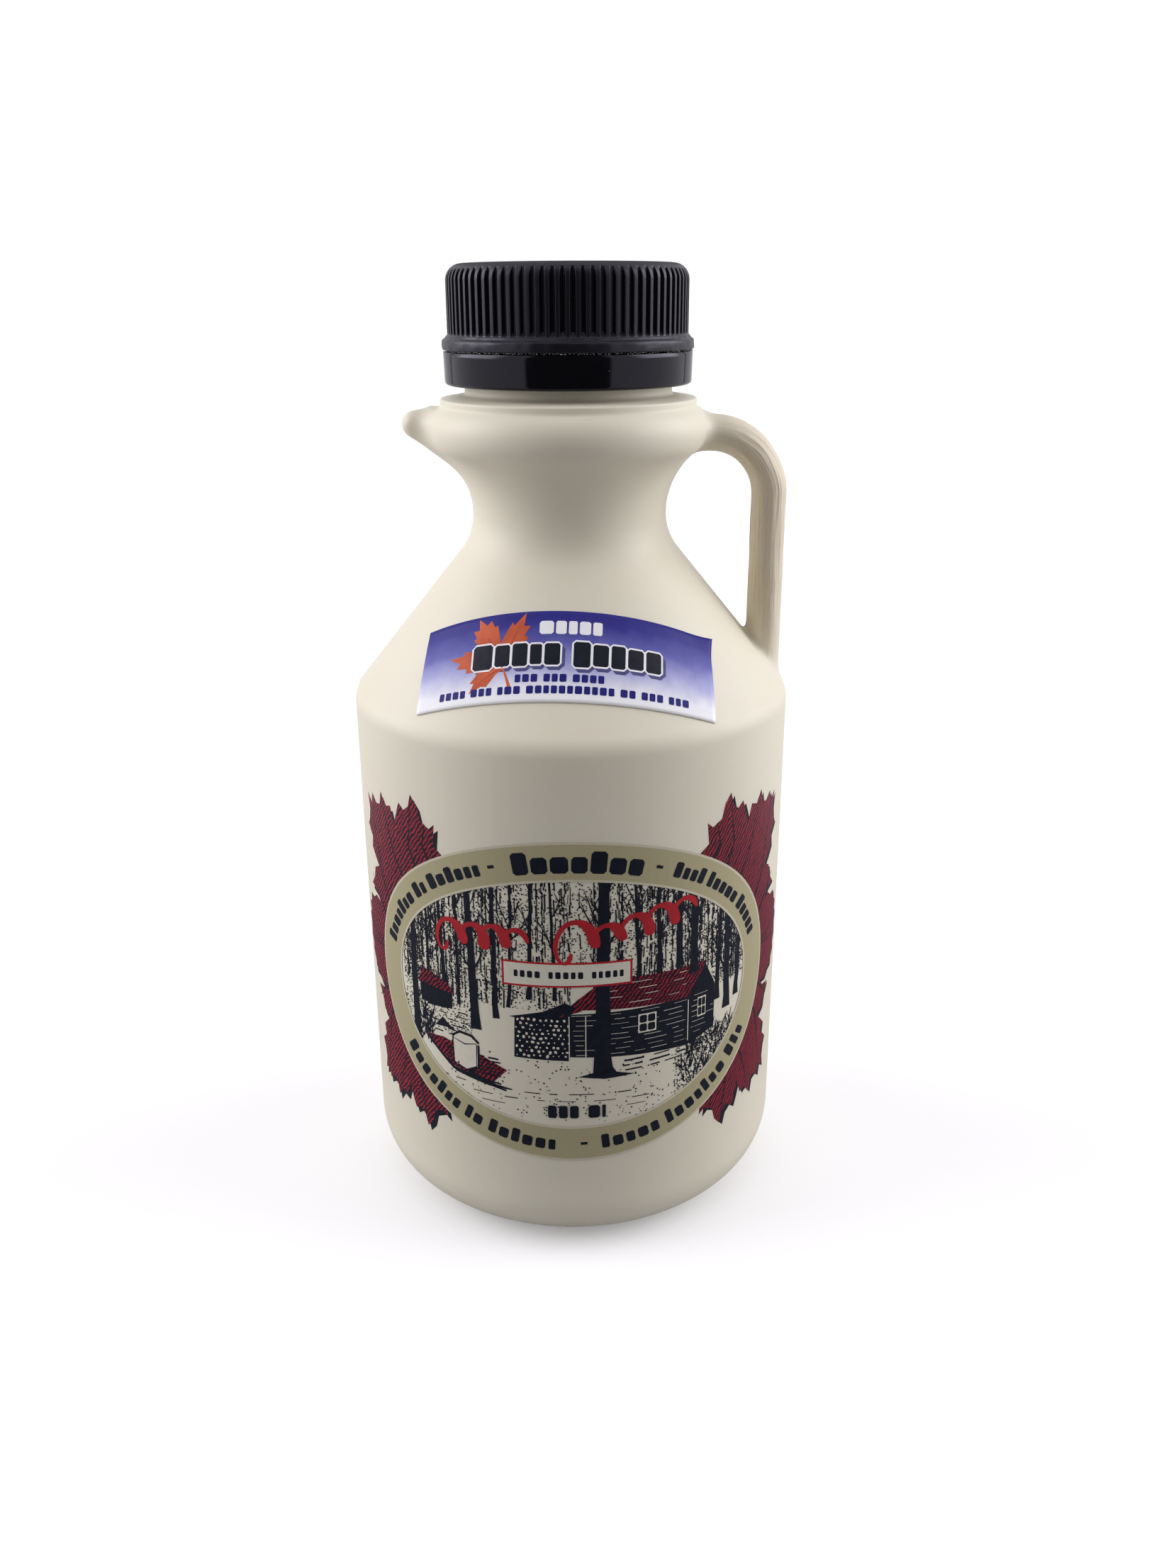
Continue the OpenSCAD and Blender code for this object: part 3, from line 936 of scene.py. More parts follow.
def ink(name, base, other, scale, hatch=None, shadeRound=None):
    # hatch gives (pitch in mm, angle in degrees, strength) of fine engraved lines, and shadeRound gives
    # (oval's middle, its half sizes, where the darker shade begins, how strong it is on the oval)
    material, tree, shader = newMaterial(name, Specular_IOR_Level=0.16)
    flat = flatCoords(tree)
    amount = spread(tree, noiseField(tree, flat, scale, 5), 0, 1)
    if shadeRound:
        (cx, cz), (a, b), far, deep = shadeRound
        fromMiddle = addNode(tree, "ShaderNodeMapping", {"Vector": flat, "Location": (-cx / a, -cz / b, 0),
                                                         "Scale": (uvSpan / a, uvSpan / b, 1)})
        length = addNode(tree, "ShaderNodeVectorMath", {0: fromMiddle.outputs[0]}, operation="LENGTH")
        near = spread(tree, length.outputs["Value"], 0, deep, far, 1.0)
        amount = maths(tree, "ADD", amount, near)
    if hatch:
        pitch, angle, strength = hatch
        slant = addNode(tree, "ShaderNodeMapping", {"Vector": flat, "Rotation": (0, 0, math.radians(angle))})
        lines = addNode(tree, "ShaderNodeTexWave", {"Vector": slant.outputs[0], "Scale": 31.4 / pitch,
                                                    "Distortion": 5.0, "Detail": 3.0, "Detail Scale": 1.4})
        fine = maths(tree, "MULTIPLY", lines.outputs["Fac"], strength)
        amount = maths(tree, "MULTIPLY_ADD", amount, fine, fine)
        amount.node.use_clamp = True
    rough = spread(tree, noiseField(tree, flat, 260, 3), 0.34, 0.48)
    dress(tree, shader, blendColour(tree, amount, base, other), rough)
    addBump(tree, shader, noiseField(tree, flat, 420, 3), 0.2, 0.00002)
    return material


# The ring, with a maple leaf showing behind it on each side
ringSettings = {
    "centre": (-0.35, 50.5),
    "outer": (41.2, 30.25),
    "inner": (34.5, 23.3),
    "edge": 0.4,
    "shadow": (0.85, -0.8),
    "leafMiddle": 52.5,
    "overlap": 1.3,  # the picture runs this far under the ring
    "seed": 11,
}
wallSides = ((0.0, "Front"), (math.pi * wallRadius, "Back"))  # how far round the wall each print sits
inkMaroon = ink("inkMaroon", (0.40, 0.026, 0.044), (0.020, 0.009, 0.018), 55, (0.68, 38, 1.0),
                (ringSettings["centre"], ringSettings["outer"], 1.2, 0.2))
inkNavy = ink("inkNavy", (0.007, 0.009, 0.017), (0.013, 0.016, 0.027), 60)
inkGold = ink("inkGold", (0.475, 0.435, 0.265), (0.41, 0.37, 0.215), 420)
inkPale = ink("inkPale", (0.66, 0.62, 0.47), (0.58, 0.54, 0.40), 200)
inkRed = ink("inkRed", (0.50, 0.028, 0.034), (0.40, 0.02, 0.03), 40)
inkCream = ink("inkCream", (0.78, 0.74, 0.61), (0.72, 0.68, 0.56), 90)
# The left leaf's upper half, from the ring outwards, measured from the ring's and the leaf's middle
leafHalf = [
    (-21.6, 22.6), (-24.4, 24.6), (-24.0, 28.4), (-25.2, 27.4), (-27.2, 28.4), (-27.9, 30.9), (-29.3, 32.5),
    (-30.0, 30.2), (-31.3, 29.2), (-32.6, 30.2), (-33.3, 28.6), (-34.3, 25.8), (-35.4, 28.8), (-37.0, 28.3),
    (-38.6, 30.4), (-39.3, 27.9), (-40.8, 27.6), (-42.6, 28.9), (-43.2, 26.9), (-45.2, 28.2), (-44.5, 25.4),
    (-45.0, 23.4), (-46.1, 22.0), (-43.9, 20.3), (-44.4, 18.1), (-41.4, 15.4), (-43.6, 14.4), (-44.4, 12.1),
    (-46.3, 10.3), (-43.4, 9.8), (-41.9, 8.3), (-44.1, 8.7), (-45.7, 7.6), (-48.0, 7.6), (-48.3, 5.9),
    (-50.1, 4.9), (-49.5, 3.4), (-51.0, 2.2), (-50.2, 0.4)]


def middleOval(settings):
    # half sizes of the oval midway between the ring's edges
    return [(p + q) / 2 for p, q in zip(settings["outer"], settings["inner"])]


def leafOutline(side, settings, dx=0.0, dz=0.0):
    cx, cz = settings["centre"][0] + dx, settings["leafMiddle"] + dz
    upper = [(cx - side * x, cz + z) for x, z in leafHalf]
    lower = [(cx - side * x * 0.995, cz - z * 0.985) for x, z in reversed(leafHalf[:-1])]
    a, b = middleOval(settings)
    back = []
    for k in range(15):  # hidden under the ring
        t = math.radians(236 - k * 8)
        back.append((settings["centre"][0] - side * a * math.cos(t), settings["centre"][1] + b * math.sin(t)))
    return upper + lower + back


def leafVeins(side, settings):
    # each vein starts under the ring, at an angle round it, and ends near a point of the leaf
    cx, cz = settings["centre"][0], settings["leafMiddle"]
    a, b = middleOval(settings)
    shapes = []
    for angle, middle, tip in ((180, (-43, 0.6), (-49.4, 1.6)), (163, (-40, 14), (-43.2, 26.4)),
                               (146, (-35, 20), (-38, 28.6)), (138, (-30.5, 23), (-29.4, 31)),
                               (171, (-41, 8.4), (-45.6, 12.4)), (131, (-27, 24), (-26.2, 28))):
        t = math.radians(angle)
        for flip in (1, -1):
            points = [(a * math.cos(t), b * math.sin(t)), middle, tip]
            path = [(cx - side * x, cz + flip * z) for x, z in points]
            shapes.append(line(printSettings["veinLevel"], [0.6, 0.4, 0.12], *path))
    return shapes


def marksAlong(settings, groups, level, inward):
    # blocks in place of words, on the ring's middle line; a group is (angle, words, height, gap)
    shapes = []
    a, b = middleOval(settings)
    sense = -1 if inward else 1
    steps = 40
    for centreAngle, words, height, gap in groups:
        total = sum(sum(w) + gap * (len(w) - 1) for w in words) + gap * 2.6 * (len(words) - 1)
        place = -total / 2
        for word in words:
            for k, width in enumerate(word):
                t = math.radians(centreAngle)
                target = place + width / 2
                for _ in range(steps):  # walks along the oval
                    t += sense * -target / steps / math.hypot(a * math.sin(t), b * math.cos(t))
                x = settings["centre"][0] + a * math.cos(t)
                z = settings["centre"][1] + b * math.sin(t)
                tangent = math.atan2(b * math.cos(t), -a * math.sin(t)) + (0 if inward else math.pi)
                tall = height * (1.0 if k == 0 or (k * 7 + len(word)) % 5 == 0 else 0.74)
                drop = (tall - height) / 2
                middle = (x - math.sin(tangent) * drop, z + math.cos(tangent) * drop)
                shapes.append((block(middle, width, tall, tangent), [], level))
                place += width + gap
            place += gap * 1.6
    return shapes


def makeRing(settings, shift, tail):
    levels = printSettings
    rng = random.Random(settings["seed"])
    leaves, shadows, veins = [], [], []
    for side in (1, -1):
        leaves.append((leafOutline(side, settings), [], levels["leafLevel"]))
        shadows.append((leafOutline(side, settings, *settings["shadow"]), [], levels["shadowLevel"]))
        veins += leafVeins(side, settings)
    (ox, oz), (ix, iz), edge = settings["outer"], settings["inner"], settings["edge"]
    ovals = [oval(settings["centre"], *sizes) for sizes in
             ((ox, oz), (ox - edge, oz - edge), (ix + edge, iz + edge), (ix, iz))]
    rims = [(ovals[0], [ovals[1]], levels["ringLevel"]), (ovals[2], [ovals[3]], levels["ringLevel"])]
    ring = [(ovals[1], [ovals[2]], levels["ringLevel"])]
    dash = [[1.2]]
    above = [(88.2, randomWords(rng, 2.35, 3.0, 7), 3.9, 0.5),
             (139.5, randomWords(rng, 1.2, 1.8, 7, 2, 6), 2.7, 0.46),
             (39.5, randomWords(rng, 1.2, 1.75, 4, 5, 5), 2.7, 0.42),
             (110.5, dash, 0.55, 0.4),
             (67, dash, 0.55, 0.4)]
    below = [(239.5, randomWords(rng, 1.2, 1.85, 7, 2, 6), 2.8, 0.55),
             (304, randomWords(rng, 1.25, 1.9, 5, 7, 3), 2.8, 0.6),
             (272.8, dash, 0.55, 0.4)]
    marks = marksAlong(settings, above, levels["markLevel"], False)
    marks += marksAlong(settings, below, levels["markLevel"], True)
    printed((("printShadow", shadows, inkNavy), ("printLeaves", leaves, inkMaroon),
             ("printVeins", veins, inkNavy), ("printRing", ring, inkGold),
             ("printRingEdge", rims, inkPale), ("printMarks", marks, inkNavy)), "jug", onWall, shift, tail)


for shift, tail in wallSides:
    makeRing(ringSettings, shift, tail)
print("ring and leaves printed")

# The picture inside the ring: a generic winter wood with a hut, drawn from loops and seeded strokes
woodSettings = {
    "seed": 5,
    "ground": 50.0,
    "streaks": 175,
    # each trunk's foot, where it stands and how wide it is
    "trunks": [
        (-31.0, 37.0, 1.9), (-27.2, 49.0, 0.7), (-23.6, 50.0, 0.9), (-20.6, 48.5, 0.6), (-17.3, 44.6, 1.7),
        (-13.6, 47.5, 1.0), (-11.2, 50.0, 0.6), (-7.6, 52.0, 0.8), (-3.2, 52.0, 0.6), (4.8, 37.4, 2.9),
        (11.0, 55.0, 0.7), (14.8, 55.5, 0.9), (18.6, 56.0, 1.3), (21.6, 54.0, 1.7), (26.9, 47.0, 1.1),
        (29.4, 44.5, 1.6), (32.0, 46.0, 1.2)],
    "halfWidth": 38,  # of the oval that trunks and streaks reach up to
    "trunkRise": 27,
    "streakRise": 26,
    "brushStrokes": 240,
    "dotRadius": 0.13,
    "dots": 15.0,  # dots in a square millimetre where the drawing is densest
    "patchSize": 420.0,
}


def woodTop(settings, x, rise):
    return ringSettings["centre"][1] + math.sqrt(max(0.05, 1 - (x / settings["halfWidth"])**2)) * rise


def trunkShapes(rng, settings, foot, base, width, level):
    # a trunk that wavers up past the ring's inner edge, with branches that fork once
    top = woodTop(settings, foot - ringSettings["centre"][0], settings["trunkRise"])
    count = 9
    path, widths = [], []
    lean = rng.uniform(-0.05, 0.05)
    for i in range(count + 1):
        t = i / count
        path.append((foot + lean * t * (top - base) + rng.uniform(-0.12, 0.12), base + t * (top - base)))
        widths.append(width * (1.25 if i == 0 else 1 - 0.45 * t))
    shapes = [line(level, widths, *path)]
    for _ in range(int(3 + width * 3)):
        t = rng.uniform(0.3, 0.97)
        k = min(int(t * count), count - 1)
        x, z = path[k][0] + (path[k + 1][0] - path[k][0]) * (t * count - k), base + t * (top - base)
        way = rng.choice((-1, 1))
        rise, length = rng.uniform(0.9, 1.9), rng.uniform(2.0, 5.5)
        twig = [(x, z)]
        for _ in range(4):
            x += way * length / 4 * rng.uniform(0.5, 0.9)
            z += length / 4 * rise * rng.uniform(0.7, 1.2)
            twig.append((x, z))
        first = max(0.22, width * 0.3 * (1.1 - t))
        shapes.append(line(level + 0.002, [first, first * 0.8, first * 0.65, first * 0.5, 0.08], *twig))
        for x, z in twig[1:4]:
            turn = way * rng.choice((-0.7, 0.4, 1.1))
            tip = (x + turn * rng.uniform(0.8, 1.8), z + rng.uniform(1.0, 2.4))
            shapes.append(line(level + 0.003, [0.2, 0.08], (x, z), tip))
    return shapes


def streakShapes(rng, settings, level):
    # the far wood: broken upright strokes, closer together towards the sides
    shapes = []
    for _ in range(settings["streaks"]):
        x = rng.uniform(-1, 1)
        x = 34 * (abs(x) ** 0.75) * (1 if x > 0 else -1)
        z = settings["ground"] + rng.uniform(-0.5, 2.0) + (3.5 if 0 < x < 27 else 0)
        top = woodTop(settings, x, settings["streakRise"])
        while z < top:
            length = rng.uniform(0.6, 3.4)
            tip = (x + rng.uniform(-0.15, 0.15), z + length)
            shapes.append(line(level, [rng.uniform(0.11, 0.26)] * 2, (x, z), tip))
            z += length + rng.uniform(0.25, 1.6)
            x += rng.uniform(-0.12, 0.12)
    return shapes


def rows(rng, left, right, low, high, count, thickness, gapLow, gapHigh, level, tilt=0.0):
    # broken level strokes, for logs, boards and shade on snow
    shapes = []
    for k in range(count):
        z = low + (high - low) * (k + 0.5) / count
        x = left + rng.uniform(0, 1)
        while x < right:
            length = min(rng.uniform(1.2, 4.5), right - x)
            if length > 0.3:
                start, end = (x, z + tilt * (x - left)), (x + length, z + tilt * (x + length - left))
                shapes.append(line(level, [thickness * rng.uniform(0.6, 1.2)] * 2, start, end))
            x += length + rng.uniform(gapLow, gapHigh)
    return shapes


def pane(x, z, width, height, level):
    # a cream window frame with four dark panes
    w, h = width / 2, height / 2
    surround = patch(level, (x - w, z - h), (x + w, z - h), (x + w, z + h), (x - w, z + h))
    glass = []
    for dx in (-1, 1):
        for dz in (-1, 1):
            middle = (x + dx * width * 0.23, z + dz * height * 0.23)
            glass.append((block(middle, width * 0.40, height * 0.40), [], level + 0.006))
    return surround, glass


def swash(left, right, base, rise, loops, size, seed):
    # a pen flourish of round loops that stands where lettering would
    rng = random.Random(seed)
    path, widths = [], []
    steps = loops * 22
    for i in range(steps + 1):
        t = i / steps
        grow = 0.62 + 0.75 * math.exp(-((t - 0.06) / 0.09)**2) + 0.12 * math.sin(t * 9 + seed)
        angle = 2 * math.pi * loops * t + 2.2
        x = left + (right - left) * t + 0.62 * size * grow * math.sin(angle)
        z = base + rise * t + size * grow * math.cos(angle)
        path.append((x, z))
    for i in range(len(path)):
        a, b = path[max(i - 1, 0)], path[min(i + 1, len(path) - 1)]
        down = (a[1] - b[1]) / (math.hypot(b[0] - a[0], b[1] - a[1]) or 1)
        ends = min(1, i / 8, (len(path) - 1 - i) / 8)
        widths.append((0.8 + 1.3 * max(0, down)) * (0.25 + 0.75 * ends) * rng.uniform(0.97, 1.03))
    return path, widths


def keptInside(shapes, settings):
    # whatever would stick out past the ring is drawn back under its inner edge
    cx, cz = settings["centre"]
    a, b = (p + settings["overlap"] for p in settings["inner"])
    kept = []
    for outline, holes, level in shapes:
        pulled = []
        for x, z in outline:
            k = max(1.0, math.hypot((x - cx) / a, (z - cz) / b))
            pulled.append((cx + (x - cx) / k, cz + (z - cz) / k))
        kept.append((pulled, holes, level))
    return kept


def makeWood(settings, shift, tail):
    rng = random.Random(settings["seed"])
    far, near, front, mark = (printSettings[k + "Level"] for k in ("far", "near", "front", "mark"))
    navy = streakShapes(rng, settings, far)
    for foot, base, width in settings["trunks"]:
        navy += trunkShapes(rng, settings, foot, base, width, near if width < 1.5 else front)
    # the hut's log wall, and its gable end with the doorway
    navy += [patch(near - 0.002, (-1.2, 41.2), (20.6, 40.2), (20.6, 49.8), (-1.2, 49.4)),
             patch(near - 0.001, (20.4, 40.2), (26.3, 42.0), (26.3, 50.4), (23.9, 55.4), (20.4, 49.8))]
    # woodpile and its dark roof edge
    navy += [patch(near, (-10.4, 40.6), (-1.0, 40.4), (-1.0, 49.2), (-10.2, 48.6)),
             patch(near + 0.002, (-11.2, 48.4), (-7.0, 48.0), (-1.4, 48.6), (0.4, 50.6), (-1.6, 51.6),
                   (-5.4, 49.8))]
    # shed on the left, a stump and its shade
    navy += [patch(near, (-29.4, 46.6), (-27.9, 46.8), (-27.6, 50.6), (-29.6, 50.4)),
             patch(near, (-27.9, 46.4), (-22.2, 47.2), (-22.0, 50.8), (-27.8, 50.4)),
             patch(near, (-26.2, 42.9), (-24.4, 45.0), (-23.2, 44.0), (-21.2, 42.9), (-23.4, 43.2))]
    # the big tree's foot, and the sled's runners
    navy += [patch(front, (0.6, 37.2), (3.2, 37.9), (3.9, 39.6), (6.2, 39.4), (7.2, 37.8), (10.4, 37.0),
                   (5.2, 36.6)),
             line(front, [0.4, 0.6, 0.3], (-28.8, 40.4), (-22.4, 35.6), (-13.0, 34.6)),
             line(front, [0.3, 0.7, 0.2], (-22.0, 35.2), (-15, 34.2), (-11.0, 33.9)),
             line(front, [0.4, 0.9, 0.2], (-21.4, 37.0), (-16, 34.6), (-12.0, 33.4))]
    navy += rows(rng, -30, -19, 41.6, 47.4, 6, 0.22, 0.8, 3.2, near)
    navy += rows(rng, -24.5, -13.0, 35.8, 39.8, 6, 0.34, 0.2, 0.9, near + 0.006)
    navy += rows(rng, 5.0, 23.5, 50.0, 55.2, 9, 0.16, 0.3, 2.4, near + 0.005)
    navy += rows(rng, -27, 14, 30.2, 34.4, 3, 0.16, 1.5, 7.0, near)
    navy += rows(rng, 8, 24, 37.4, 40.2, 3, 0.3, 0.5, 2.5, near, 0.05)
    for _ in range(settings["brushStrokes"]):  # brush in the corners
        if rng.random() < 0.6:
            x, z = rng.uniform(19, 31), rng.uniform(32.5, 42)
        else:
            x, z = rng.uniform(-31, -26.5), rng.uniform(38.5, 45)
        tip = (x + rng.uniform(-1.2, 1.2), z + rng.uniform(0.8, 2.6))
        navy.append(line(near + rng.uniform(0, 0.004), [0.3, 0.1], (x, z), tip))
    maroon = [patch(near + 0.002, (1.0, 50.2), (20.6, 49.6), (24.2, 55.6), (4.6, 55.8)),
              patch(near + 0.001, (-2.8, 48.8), (1.2, 50.0), (4.6, 55.4), (0.6, 52.2)),
              patch(near + 0.004, (-30.2, 50.4), (-21.6, 50.2), (-22.9, 52.0), (-28.6, 53.4)),
              patch(near + 0.002, (-28.6, 40.4), (-22.6, 36.0), (-14.4, 34.8), (-11.8, 37.6), (-16.0, 39.4),
                    (-24.4, 41.0))]
    cream = rows(rng, -0.6, 20.2, 41.0, 49.6, 9, 0.075, 0.8, 4.0, near + 0.004)
    cream += rows(rng, 4.0, 20.0, 50.4, 55.4, 4, 0.1, 2.0, 6.0, near + 0.006)
    cream += rows(rng, 21.0, 26.0, 41.8, 50.0, 8, 0.075, 1.2, 3.4, near + 0.004)
    cream += [line(near + 0.005, [0.16, 0.16], (x, 41.0), (x, 49.0)) for x in (-0.9, 1.9, 20.5)]
    for j in range(9):  # log ends
        for i in range(9):
            x = -9.8 + i * 1.02 + (j % 2) * 0.5 + rng.uniform(-0.2, 0.2)
            z = 41.2 + j * 0.86 + rng.uniform(-0.16, 0.16)
            size = rng.uniform(0.12, 0.37)
            turn = rng.uniform(0, 3)
            log = [(p * rng.uniform(0.8, 1.15), q * rng.uniform(0.8, 1.15))
                   for p, q in oval((0, 0), size, size * 0.8, 7)]
            cream.append((turned(log, (x, z), turn), [], near + 0.005))
    # milk churn on the sled
    cream.append(patch(front + 0.002, (-22.0, 36.9), (-19.6, 36.1), (-17.4, 36.9), (-17.2, 41.6),
                       (-18.5, 42.7), (-20.8, 42.9), (-22.2, 41.9)))
    navy += [line(front + 0.003, [0.2, 0.4, 0.5, 0.5, 0.4], (-22.4, 40.2), (-22.2, 42.2), (-20.8, 43.2),
                  (-18.4, 43.0), (-17.0, 41.8)),
             line(front + 0.003, [0.15, 0.25, 0.15], (-22.0, 41.6), (-19.8, 41.0), (-17.4, 41.6)),
             line(front + 0.003, [0.6, 0.7, 0.3], (-17.2, 41.4), (-17.3, 37.0), (-19.4, 36.0))]
    for window in ((12.6, 46.6, 3.3, 3.6), (23.4, 46.9, 1.8, 3.8)):
        surround, glass = pane(*window, near + 0.007)
        cream.append(surround)
        navy += glass
    # the plate with its red border, both rows of blocks, and the pen flourishes
    white = [patch(mark - 0.006, (-12.0, 54.6), (9.6, 54.9), (9.6, 59.0), (-12.0, 58.9))]
    red = [([(-12.2, 54.4), (9.8, 54.7), (9.8, 59.2), (-12.2, 59.1)],
            [[(-11.85, 54.75), (9.45, 55.05), (9.45, 58.85), (-11.85, 58.75)]], mark)]
    navy += blockRow(-10.1, 56.8, randomWords(rng, 0.62, 0.9, 4, 5, 5), 1.25, 0.42, 1.05, mark)
    navy += blockRow(-4.7, 30.2, ((1.5, 1.5, 1.5), (2.0, 0.6)), 2.5, 0.4, 1.3, mark)
    for flourish in ((-24.0, -8.4, 62.2, 1.2, 4, 2.8, 3), (-2.2, 21.0, 62.9, 4.4, 5, 2.9, 8)):
        path, widths = swash(*flourish)
        red += brush(path, widths, mark - 0.002, 0.008)
    printed([(name, keptInside(shapes, ringSettings), material) for name, shapes, material in
             (("printWood", navy, inkNavy), ("printRoofs", maroon, inkMaroon), ("printLogs", cream, inkCream),
              ("printPlate", white, inkCream), ("printFlourish", red, inkRed))], "jug", onWall, shift, tail)


def stippleTree():
    # Scatters little dots over a flat sheet, as thickly as its own "dark" attribute and some noise say
    inputs = [("Dots", "Float"), ("Dot radius", "Float"), ("Dot height", "Float"), ("Patch size", "Float"),
              ("Seed", "Int")]
    tree, given, sockets = newGeometryTree("stipple", inputs)
    dark = addNode(tree, "GeometryNodeInputNamedAttribute", {"Name": "dark"}, data_type="FLOAT").outputs[0]
    clouds = addNode(tree, "ShaderNodeTexNoise", {"Scale": given["Patch size"], "Detail": 2.0}).outputs[0]
    thick = maths(tree, "MULTIPLY", dark, spread(tree, clouds, 0, 1, 0.4, 0.6))
    points = addNode(tree, "GeometryNodeDistributePointsOnFaces", {
        "Mesh": given["Geometry"], "Density": maths(tree, "MULTIPLY", thick, given["Dots"]),
        "Seed": given["Seed"]})
    dot = addNode(tree, "GeometryNodeMeshCylinder", {"Vertices": 5, "Radius": given["Dot radius"],
                                                     "Depth": given["Dot height"]})
    size = addNode(tree, "FunctionNodeRandomValue", {2: 0.7, 3: 1.35, "Seed": given["Seed"]},
                   data_type="FLOAT")
    put = addNode(tree, "GeometryNodeInstanceOnPoints", {"Points": points.outputs[0],
                                                         "Instance": dot.outputs[0],
                                                         "Scale": size.outputs[1]})
    endGeometryTree(tree, given, put.outputs[0])
    return tree, sockets


def darkness(x, z, ground):
    # how thickly the picture is dotted: the far wood, brush on the right, shed on the left, snow in front
    if z > ground + (4.5 if -2 < x < 25 else 0):
        return 0.35 + 0.65 * abs(x / 34) ** 1.3
    if x > 18 and z < 42:
        return 0.8
    if x < -18 and 42 < z < 51:
        return 0.5
    return 0.07 if z < 41 and -24 < x < 18 else 0


def makeStipple(tree, sockets, settings, shift, tail):
    # millimetre squares of a flat grid are given dots, which are then laid on the wall
    cx, cz = ringSettings["centre"]
    points, faces, darks = [], [], []
    for i in range(-34, 34):
        for j in range(28, 75):
            x, z = i + 0.5, j + 0.5
            dark = darkness(x, z, settings["ground"])
            if dark and ((x - cx) / 35.2)**2 + ((z - cz) / 24.0)**2 <= 1:
                start = len(points)
                points += [(x + a, z + b) for a, b in ((-0.5, -0.5), (0.5, -0.5), (0.5, 0.5), (-0.5, 0.5))]
                faces.append(range(start, start + 4))
                darks += [dark] * 4
    piece = newMesh("printStipple" + tail, [(x * mm, z * mm, 0) for x, z in points], faces, inkNavy)
    setAttribute(piece, "dark", "FLOAT", "value", darks)
    applyNodes(piece, tree, sockets, {
        "Dots": settings["dots"] * 1e6,
        "Dot radius": settings["dotRadius"] * mm,
        "Dot height": printSettings["skin"] * mm,
        "Patch size": settings["patchSize"],
        "Seed": settings["seed"],
        "Finish": inkNavy,
    })
    mesh = piece.data
    flat = np.empty(len(mesh.vertices) * 3)
    mesh.vertices.foreach_get("co", flat)
    flat = flat.reshape(-1, 3) / mm
    laid = [onWall(u + shift, v, printSettings["farLevel"] + w) for u, v, w in flat]
    mesh.vertices.foreach_set("co", (np.array(laid) * mm).ravel())
    corners = np.array([loop.vertex_index for loop in mesh.loops])
    mesh.uv_layers.new(name="flat").data.foreach_set("uv", (flat[corners, :2] / uvSpan).ravel())
    mesh.update()
    finished(piece, "jug")


stipple, stippleSockets = stippleTree()
for shift, tail in wallSides:
    makeWood(woodSettings, shift, tail)
    makeStipple(stipple, stippleSockets, woodSettings, shift, tail)
print("picture printed")

# Sticker on the shoulder
stickerSettings = {
    "width": 50.8,
    "height": 15.8,
    "thickness": 0.1,
    "down": 45.41,  # along the shoulder from the cone's point to the sticker's middle
    "left": 0.8,
    "tilt": 2.8,
    "cornerLift": 0.75,
    "liftedLength": 4.2,
    "columns": 72,
    "rows": 24,
    "seed": 21,
    "leafMiddle": (-10.7, -0.6),
    "leafTurn": 27,  # degrees
    "leafSize": 9.1,
    "violet": ((0.0, (0.97, 0.97, 0.97)), (0.15, (0.90, 0.90, 0.95)), (0.38, (0.43, 0.44, 0.73)),
               (0.62, (0.125, 0.13, 0.44)), (0.85, (0.028, 0.028, 0.26)), (1.0, (0.014, 0.014, 0.20))),
}


def onShoulder(u, v, level):
    s = stickerSettings
    t, lean = math.radians(s["tilt"]), jugFacts["lean"]
    across = u * math.cos(t) + v * math.sin(t) - s["left"]
    down = s["down"] - v * math.cos(t) + u * math.sin(t)
    slant = math.hypot(across, down)
    turn = math.atan2(across, down) / math.sin(lean) - math.pi / 2
    # the top right corner has come away a little, and the long edges aren't quite stuck down
    corner = max(0.0, 1 - math.hypot(s["width"] / 2 - u, s["height"] / 2 - v) / s["liftedLength"])
    edge = max(0.0, abs(v) / (s["height"] / 2) - 0.9) * 0.3
    edge *= 0.5 + 0.5 * noise(Vector((u * 0.4, 1, 0)))
    ripple = 0.03 * noise(Vector((u * 0.25, v * 0.35, 3.0)))
    h = level + 0.02 + s["cornerLift"] * corner**1.7 + edge + max(0, ripple)
    x, y = slant * math.sin(lean) * math.cos(turn), slant * math.sin(lean) * math.sin(turn)
    grow = 1 + h * math.cos(lean) / (slant * math.sin(lean))
    return x * grow, y * grow, jugFacts["apex"] - slant * math.cos(lean) + h * math.sin(lean)


def paperMaterial(s):
    # violet at the top and white at the bottom, printed on fine laid paper with a thin gloss
    material, tree, shader = newMaterial("stickerPaper", Specular_IOR_Level=0.12)
    flat = flatCoords(tree)
    upright = addNode(tree, "ShaderNodeSeparateXYZ", {0: flat}).outputs["Y"]
    stain = maths(tree, "MULTIPLY", noiseField(tree, flat, 26, 4), 0.03)
    place = spread(tree, maths(tree, "ADD", upright, stain), 0, 1, -0.064, 0.095)
    ramp = addNode(tree, "ShaderNodeValToRGB", {"Fac": place})
    for at, colour in s["violet"][1:-1]:
        ramp.color_ramp.elements.new(at)
    for element, (at, colour) in zip(ramp.color_ramp.elements, s["violet"]):
        element.position = at
        element.color = (*colour, 1)
    lay = addNode(tree, "ShaderNodeMapping", {"Vector": flat, "Scale": (1.0, 6.0, 1.0)})
    fibres = noiseField(tree, lay.outputs[0], 380, 3)
    colour = blendColour(tree, spread(tree, fibres, 0, 0.035), ramp.outputs[0], (0.9, 0.75, 0.85))
    dress(tree, shader, colour, spread(tree, fibres, 0.3, 0.42))
    addBump(tree, shader, fibres, 0.3, 0.00002)
    return material


